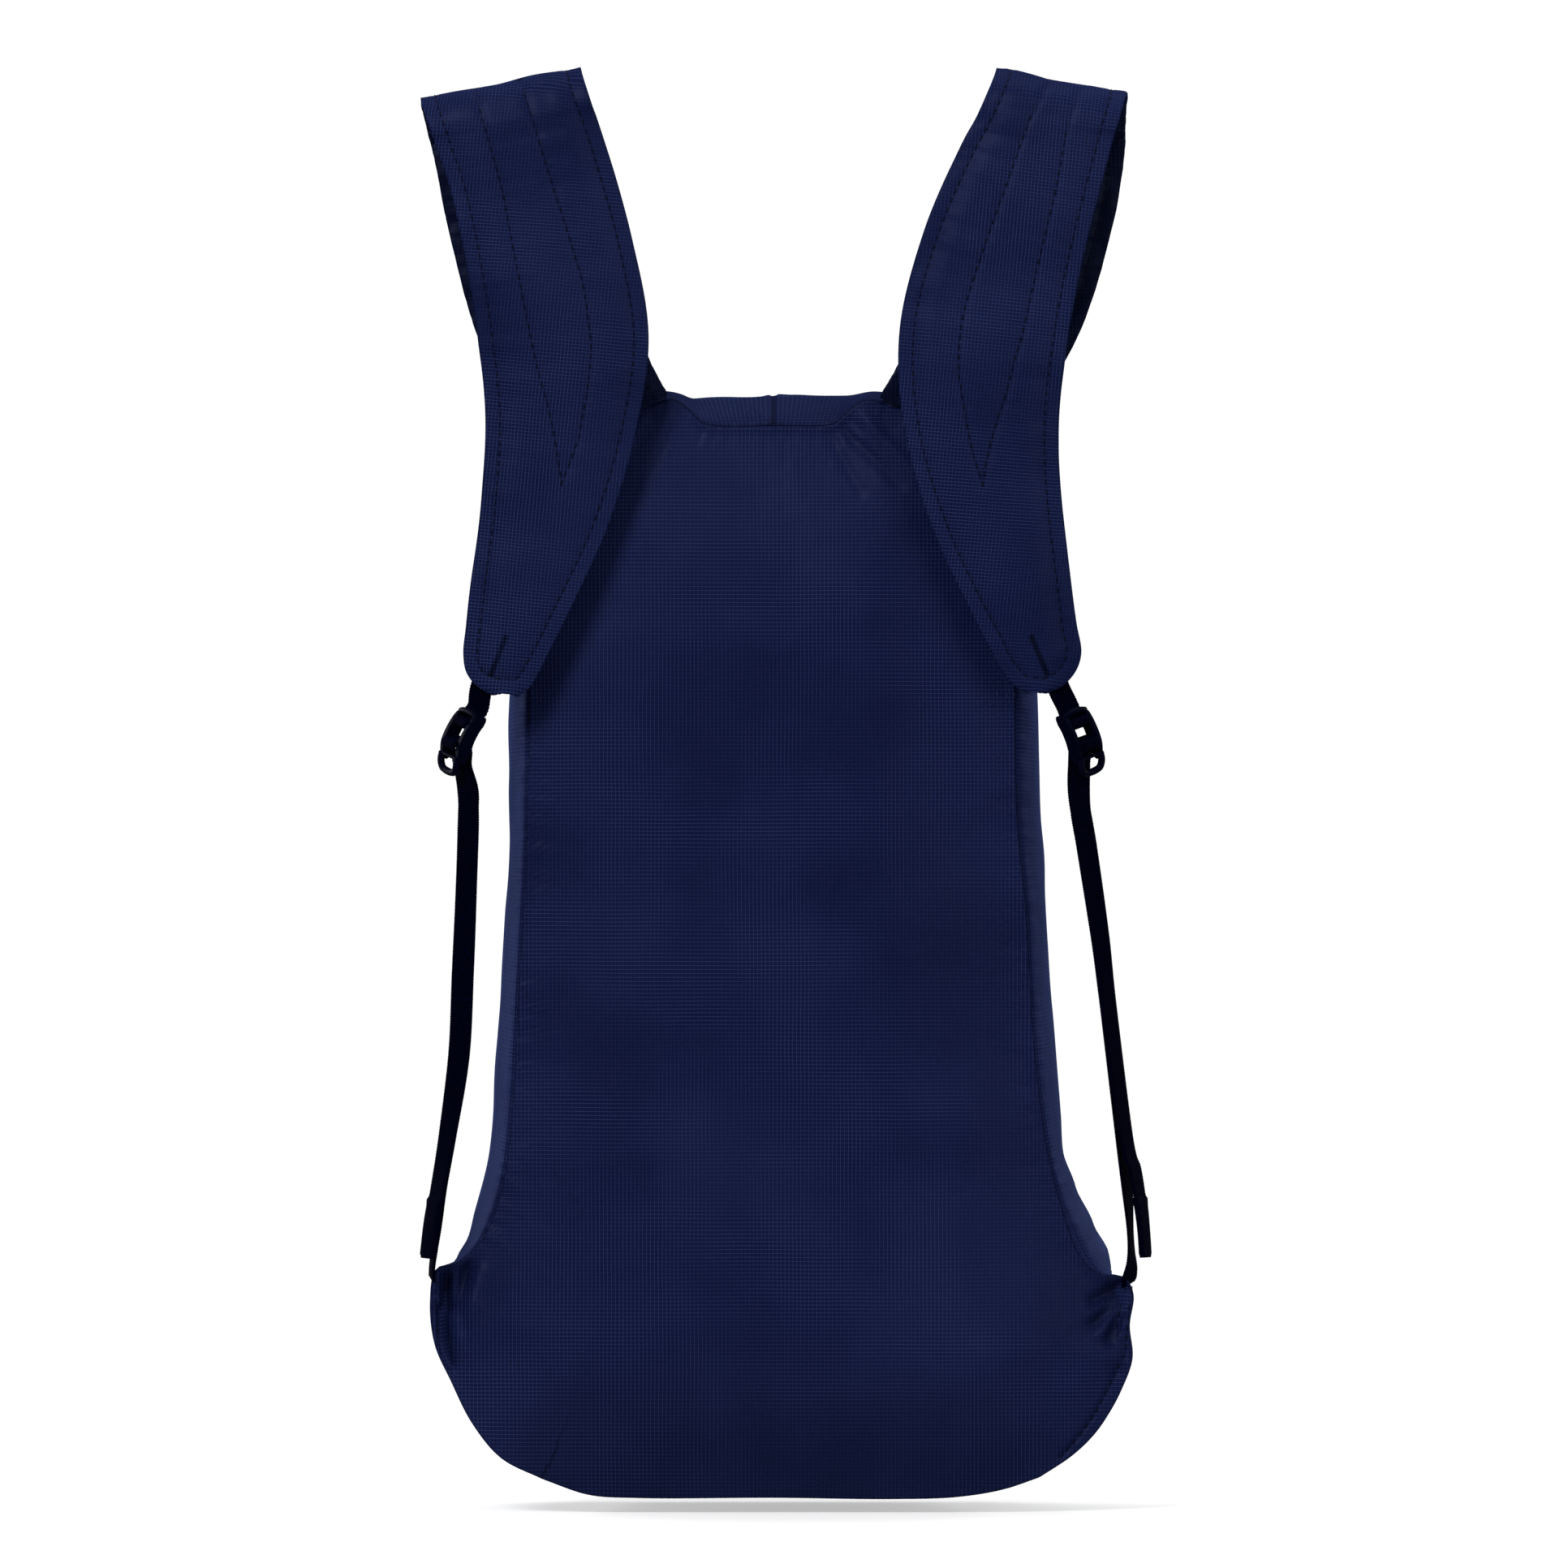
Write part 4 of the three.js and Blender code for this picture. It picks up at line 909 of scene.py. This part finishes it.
# Lock sizes in its own frame: deep is away from the viewer, up runs along the lock.
lockMake = {
    "inner": 5.15, "outer": 7.1, "bevel": 0.5,
    # front and back edge of a side wall, as deep and up
    "wallFront": [(-0.6, 14.0), (-2.4, 12.2), (-3.8, 8.2), (-4.5, 1.5), (-4.1, -3.0), (-2.3, -7.0),
                  (-1.2, -9.2)],
    "wallBack": [(1.6, -9.4), (2.9, -6.5), (2.9, -2.5), (2.4, 2.0), (2.7, 7.0), (3.9, 12.5), (3.0, 14.0)],
    "middleBar": (-3.2, -2.2), "anchorBar": (-2.0, 8.4), "barRadius": 1.0,
}
lockPlaces = {
    "left": {"side": -1, "out": 0.916, "up": 0.689, "y": -19, "lean": 24, "swing": 52},
    "right": {"side": 1, "out": 0.892, "up": 0.689, "y": -19, "lean": 20, "swing": 38},
}
# out share, up share, y in mm, turn about its own run in degrees
webRuns = {
    "left": {
        "main": [
            (1.0, 0.201, 1.5, 78), (0.998, 0.2125, 0, 78), (0.991, 0.228, -2.5, 76),
            (0.981, 0.25, -4.5, 72), (0.972, 0.285, -6, 58), (0.952, 0.33, -7.5, 42),
            (0.918, 0.404, -9.5, 24), (0.907, 0.478, -11.5, 18), (0.897, 0.552, -13.5, 24),
            (0.891, 0.62, -15, 26), (0.889, 0.644, -15, 32)],
        "tail": [
            (0.89, 0.632, -17.4, 28), (0.897, 0.552, -16.2, 24), (0.907, 0.478, -14.6, 18),
            (0.919, 0.404, -13.5, 24), (0.953, 0.33, -12, 42), (0.982, 0.279, -12, 52),
            (0.996, 0.252, -12.5, 50), (1.008, 0.2195, -13, 50)],
    },
    "right": {
        "main": [
            (1.029, 0.1955, 3.2, 60), (1.032, 0.2025, 1.4, 54), (1.036, 0.22, -3, 72),
            (1.033, 0.245, -5, 76), (1.024, 0.285, -6, 62), (1.01, 0.33, -7.5, 53),
            (0.965, 0.456, -10, 45), (0.943, 0.515, -12, 38), (0.904, 0.596, -14.5, 28),
            (0.88, 0.64, -15, 30)],
        "tail": [
            (0.886, 0.63, -17.4, 28), (0.904, 0.594, -17.2, 28), (0.943, 0.513, -15.5, 36),
            (0.966, 0.454, -15, 45), (1.02, 0.33, -12.5, 55), (1.046, 0.3, -12, 58),
            (1.062, 0.27, -12, 62), (1.071, 0.245, -12.5, 66), (1.076, 0.2205, -13, 66)],
    },
}


def lockFrame(place):
    # columns: across, thickness, long axis
    swing, lean = math.radians(place["swing"]) * -place["side"], math.radians(place["lean"]) * place["side"]
    up = np.array([-math.sin(lean), 0, math.cos(lean)])
    level = np.array([math.cos(lean), 0, math.sin(lean)])
    across = math.cos(swing) * level - math.sin(swing) * np.array([0, 1, 0])
    out = place["side"] * place["out"] * bag["wingHalf"]
    origin = np.array([out, place["y"], place["up"] * bag["height"]])
    return across, np.cross(up, across), up, origin


def lockPoints(place, rows):
    across, deep, up, origin = lockFrame(place)
    made = []
    for towardBack, above, *inward in rows:
        p = origin + deep * towardBack + up * above
        made.append((p - across * place["side"] * (inward[0] if inward else 0), across))
    return made


def runPoints(rows, side):
    made = []
    for out, up, y, degrees in rows:
        turn = math.radians(degrees)
        made.append((np.array([side * out * bag["wingHalf"], y, up * bag["height"]]),
                     np.array([math.cos(turn), side * math.sin(turn), 0])))
    return made


def barWrap(bar, fromDeg, toDeg, steps):
    radius = lockMake["barRadius"] + webbing["gap"] + webbing["thick"] / 2
    return [(bar[0] + radius * math.cos(math.radians(a)), bar[1] + radius * math.sin(math.radians(a)))
            for a in np.linspace(fromDeg, toDeg, steps + 1)]


def ribbonMesh(name, keys, node, hemmed=False):
    points, turns = np.array([k[0] for k in keys]), np.array([k[1] for k in keys])
    share = np.linspace(0, 1, 4000)
    path, across = throughPoints(points, share), throughPoints(turns, share)
    run = runAlong(path)
    count = int(run[-1] / webbing["rib"]) * 4
    at = np.linspace(0, run[-1], count + 1)
    path, across = [np.stack([np.interp(at, run, values[:, k]) for k in range(3)], -1)
                    for values in (path, across)]
    ahead = unit(np.gradient(path, axis=0))
    across = unit(across - ahead * (across * ahead).sum(1, keepdims=True))
    up = np.cross(ahead, across)
    rib = np.cos(2 * np.pi * at / webbing["rib"])
    thick = webbing["thick"] + webbing["ribHigh"] * rib
    width = webbing["width"] + webbing["edgeTooth"] * rib
    if hemmed:
        past = at - at[-1] + webbing["hemLong"]
        thick = lerp(thick, webbing["hem"], smooth(past / 1.6))
        width += webbing["hemBump"] * np.exp(-((past / 1.8 - 1) ** 2))
        width *= lerp(webbing["endWidth"], 1, smooth((at[-1] - at) / 2.2))
    rings = np.stack([path + across * (u * width)[:, None] + up * (v * thick)[:, None]
                      for u, v in webbing["ring"]], 1)
    n, m = rings.shape[:2]
    faces = []
    for i in range(n - 1):
        for j in range(m):
            k = (j + 1) % m
            faces.append((i * m + j, i * m + k, (i + 1) * m + k, (i + 1) * m + j))
    faces.append(tuple(range(m))[::-1])
    faces.append(tuple((n - 1) * m + j for j in range(m)))
    obj = meshObject(name, rings.reshape(-1, 3), faces, webLook)
    solid = bmesh.new()
    solid.from_mesh(obj.data)
    bmesh.ops.recalc_face_normals(solid, faces=solid.faces)
    solid.to_mesh(obj.data)
    solid.free()
    print(name, "is", round(run[-1]), "mm long")
    return finishPiece(obj, "webbing", node)


def makeAdjuster(side):
    place, runs = lockPlaces[side], webRuns[side]
    turn = lockPoints(place, [
        (7.0, -8.5, 1.6), (4.6, -2.5, 0.6), (1.4, 1.6, 0), *barWrap(lockMake["middleBar"], 75, 285, 7),
        (0.9, -5.2, 0), (4.6, -9.8, 1.4)])
    keys = runPoints(runs["main"], place["side"]) + turn + runPoints(runs["tail"], place["side"])
    return ribbonMesh("adjusterWebbing" + side.title(), keys, "adjuster_webbing_" + side, hemmed=True)


def makeStrapEnd(side):
    place, tip = lockPlaces[side], strapTables[side]["front"][-2]
    entry = dict(place, swing=place["swing"] * 0.35)
    wrap = lockPoints(entry, [(3.9, 17.5), (3.4, 14.0)]) + lockPoints(
        place, [(1.6, 10.8), *barWrap(lockMake["anchorBar"], 20, -200, 8), (1.0, 11.6)])
    y = tip[4] + 1.1 + webbing["gap"] + webbing["thick"] / 2
    head = runPoints([
        (tip[0] - 0.072, tip[1] + 0.045, y + 4.0, 0), (tip[0] - 0.04, tip[1] + 0.018, y + 3.1, 0),
        (tip[0] - 0.014, tip[1] - 0.004, y + 2.8, 12)], place["side"])
    return ribbonMesh("strapEndWebbing" + side.title(), head + wrap, "strap_end_webbing_" + side)


def tube(solid, path, radius, sides=14):
    # round bar along a path of (across, deep, up), with capped ends
    path = np.array(path, float)
    if len(path) > 2:
        path = throughPoints(path, np.linspace(0, 1, 4 * len(path)), True)
    ahead = unit(np.gradient(path, axis=0))
    side = unit(np.cross(ahead, [0.0, 1.0, 0.0]))
    over = np.cross(side, ahead)
    rings = []
    for p, a, b in zip(path, side, over):
        turn = np.linspace(0, 2 * np.pi, sides, endpoint=False)
        rings.append([solid.verts.new(p + radius * (math.cos(k) * a + math.sin(k) * b)) for k in turn])
    for low, high in zip(rings, rings[1:]):
        for k in range(sides):
            solid.faces.new((low[k], low[(k + 1) % sides], high[(k + 1) % sides], high[k]))
    solid.faces.new(rings[0][::-1])
    solid.faces.new(rings[-1])


def makeLock(side):
    place = lockPlaces[side]
    inner, outer = lockMake["inner"], lockMake["outer"]
    solid = bmesh.new()
    front = throughPoints(lockMake["wallFront"], np.linspace(0, 1, 22), True)
    back = throughPoints(lockMake["wallBack"], np.linspace(0, 1, 22), True)
    profile = np.concatenate([front, back])
    for sign in (-1, 1):
        loops = [[solid.verts.new((sign * a, d, u)) for d, u in profile] for a in (inner, outer)]
        for k in range(len(profile)):
            after = (k + 1) % len(profile)
            solid.faces.new((loops[0][k], loops[0][after], loops[1][after], loops[1][k]))
        solid.faces.new(loops[0][::-1])
        solid.faces.new(loops[1])
    rims = [e for e in solid.edges if len({round(v.co.x, 4) for v in e.verts}) == 1]
    bmesh.ops.bevel(solid, geom=rims, offset=lockMake["bevel"], segments=3, profile=0.5, affect="EDGES")
    for deep, up in (lockMake["middleBar"], lockMake["anchorBar"]):
        tube(solid, [(-inner - 0.8, deep, up), (inner + 0.8, deep, up)], lockMake["barRadius"])
    tube(solid, [(-outer + 0.7, -1.3, 12.6), (-3.5, -1.9, 13.3), (3.5, -1.9, 13.3),
                 (outer - 0.7, -1.3, 12.6)], 1.35)
    tube(solid, [(-outer + 1.0, -1.9, -7.4), (outer - 1.0, -1.9, -7.4)], 0.8)
    tube(solid, [(-outer + 1.1, -1.8, -7.0), (-6.1, -0.6, -10.4), (-5.0, 0.7, -12.9), (-2.6, 1.2, -13.7),
                 (2.6, 1.2, -13.7), (5.0, 0.7, -12.9), (6.1, -0.6, -10.4), (outer - 1.1, -1.8, -7.0)], 1.6)
    bmesh.ops.recalc_face_normals(solid, faces=solid.faces)
    across, deep, up, origin = lockFrame(place)
    for v in solid.verts:
        v.co = Vector(inFrame(origin + across * v.co.x + deep * v.co.y + up * v.co.z))
    if np.linalg.det(np.stack([across, deep, up])) < 0:
        bmesh.ops.reverse_faces(solid, faces=solid.faces)
    mesh = bpy.data.meshes.new("ladderLock" + side.title())
    solid.to_mesh(mesh)
    solid.free()
    mesh.materials.append(lockLook)
    mesh.shade_smooth()
    mesh.set_sharp_from_angle(angle=math.radians(38))
    return finishPiece(linked("ladderLock" + side.title(), mesh), "lock", "ladder_lock_" + side)


panels = {
    "back": makeBackPanel(),
    "left": makeBridge("left", "sidePanelLeft", "side_panel_left", litSideCloth),
    "right": makeBridge("right", "sidePanelRight", "side_panel_right", litSideCloth),
    "bottom": makeBridge("bottom", "bottomPanel", "bottom_panel", bagCloth),
    "top": makeBridge("top", "topPanel", "top_panel", shadedTopCloth),
    "front": makeFrontPanel(),
}
print("bag panels made")
straps = {side: makeStrap(side) for side in ("left", "right")}
for side in ("left", "right"):
    makeAdjuster(side)
    makeStrapEnd(side)
    makeLock(side)
    strapStitches(side, straps[side])
panelSkin = panels["back"][1] - [0, bag["skin"] / 2 + thread["overPanel"], 0]
stitchRows("wingStitches", [surfaceAt(panelSkin, pictureLine(row, 60)) for row in backPanel["wingRows"]],
           "bag_cloth")
print("straps, webbing, locks and stitches made")

# Stage
def makeFloorMaterial():
    # pale floor that melts into the white backdrop with distance
    material, w = newMaterial("paleFloor")
    place = w.node("ShaderNodeTexCoord").outputs["Object"]
    away = w.vector("MULTIPLY", place, (1.0, 0.6, 0.0))
    far = w.node("ShaderNodeVectorMath", {0: away}, operation="LENGTH").outputs["Value"]
    w.surface(w.out("ShaderNodeBsdfPrincipled", {
        "Base Color": (0.9, 0.9, 0.91, 1.0), "Roughness": 0.9, "Specular IOR Level": 0.1,
        "Emission Color": (1.0, 1.0, 1.0, 1.0), "Emission Strength": 0.1,
        "Alpha": w.ramp(far, 0.22, 0.55, 0.6, 0.0)}))
    return material


stage = {
    "floorHalf": 9, "floorDrop": 0.006, "seen": 0.82, "glow": 0.23, "middle": (0, 0.03, -0.3),
    "lens": 300.0, "sensor": 36.0, "frameWide": 0.6839, "cameraX": 0.0039, "cameraZ": -0.3011,
    "lights": {
        "key": {"at": (-1.2, -2.1, 1.4), "size": 0.9, "power": 70.0},
        "fill": {"at": (1.7, -1.9, 0.4), "size": 1.5, "power": 25.0},
        "top": {"at": (0.2, 0.4, 1.7), "size": 1.4, "power": 20.0},
        "backLeft": {"at": (-2.0, 1.2, 0.3), "size": 1.2, "power": 44.0},
        "backRight": {"at": (2.0, 1.4, 0.5), "size": 1.2, "power": 30.0}},
}
floorMesh = bpy.data.meshes.new("floor")
half, low = stage["floorHalf"], cadLow[2] - stage["floorDrop"]
corners = [(-half, -half, low), (half, -half, low), (half, half, low), (-half, half, low)]
floorMesh.from_pydata(corners, [], [(0, 1, 2, 3)])
floorMesh.materials.append(makeFloorMaterial())
floorObject = linked("floor", floorMesh)

scene = bpy.context.scene
scene.view_settings.view_transform = "Standard"
world = bpy.data.worlds.new("studio")
scene.world = world
world.use_nodes = True
world.node_tree.nodes.clear()
sky = Wires(world.node_tree)
seen = sky.node("ShaderNodeLightPath").outputs["Is Camera Ray"]
strength = sky.math("MULTIPLY_ADD", seen, stage["seen"], stage["glow"])
sky.surface(sky.out("ShaderNodeBackground", {"Color": (1.0, 1.0, 1.0, 1.0), "Strength": strength}),
            "ShaderNodeOutputWorld")

for name, light in stage["lights"].items():
    data = bpy.data.lights.new(name, "AREA")
    data.shape, data.size, data.energy = "SQUARE", light["size"], light["power"]
    lamp = linked(name, data)
    lamp.location = light["at"]
    toMiddle = Vector(stage["middle"]) - Vector(light["at"])
    lamp.rotation_euler = toMiddle.to_track_quat("-Z", "Y").to_euler()

camera = bpy.data.cameras.new("camera")
camera.lens, camera.sensor_width, camera.sensor_fit = stage["lens"], stage["sensor"], "HORIZONTAL"
cameraObject = linked("camera", camera)
back = stage["frameWide"] * stage["lens"] / stage["sensor"]
cameraObject.location = (stage["cameraX"], 0.005 - back, stage["cameraZ"])
cameraObject.rotation_euler = (math.radians(90), 0, 0)
scene.camera = cameraObject
print("floor, lights and camera placed")
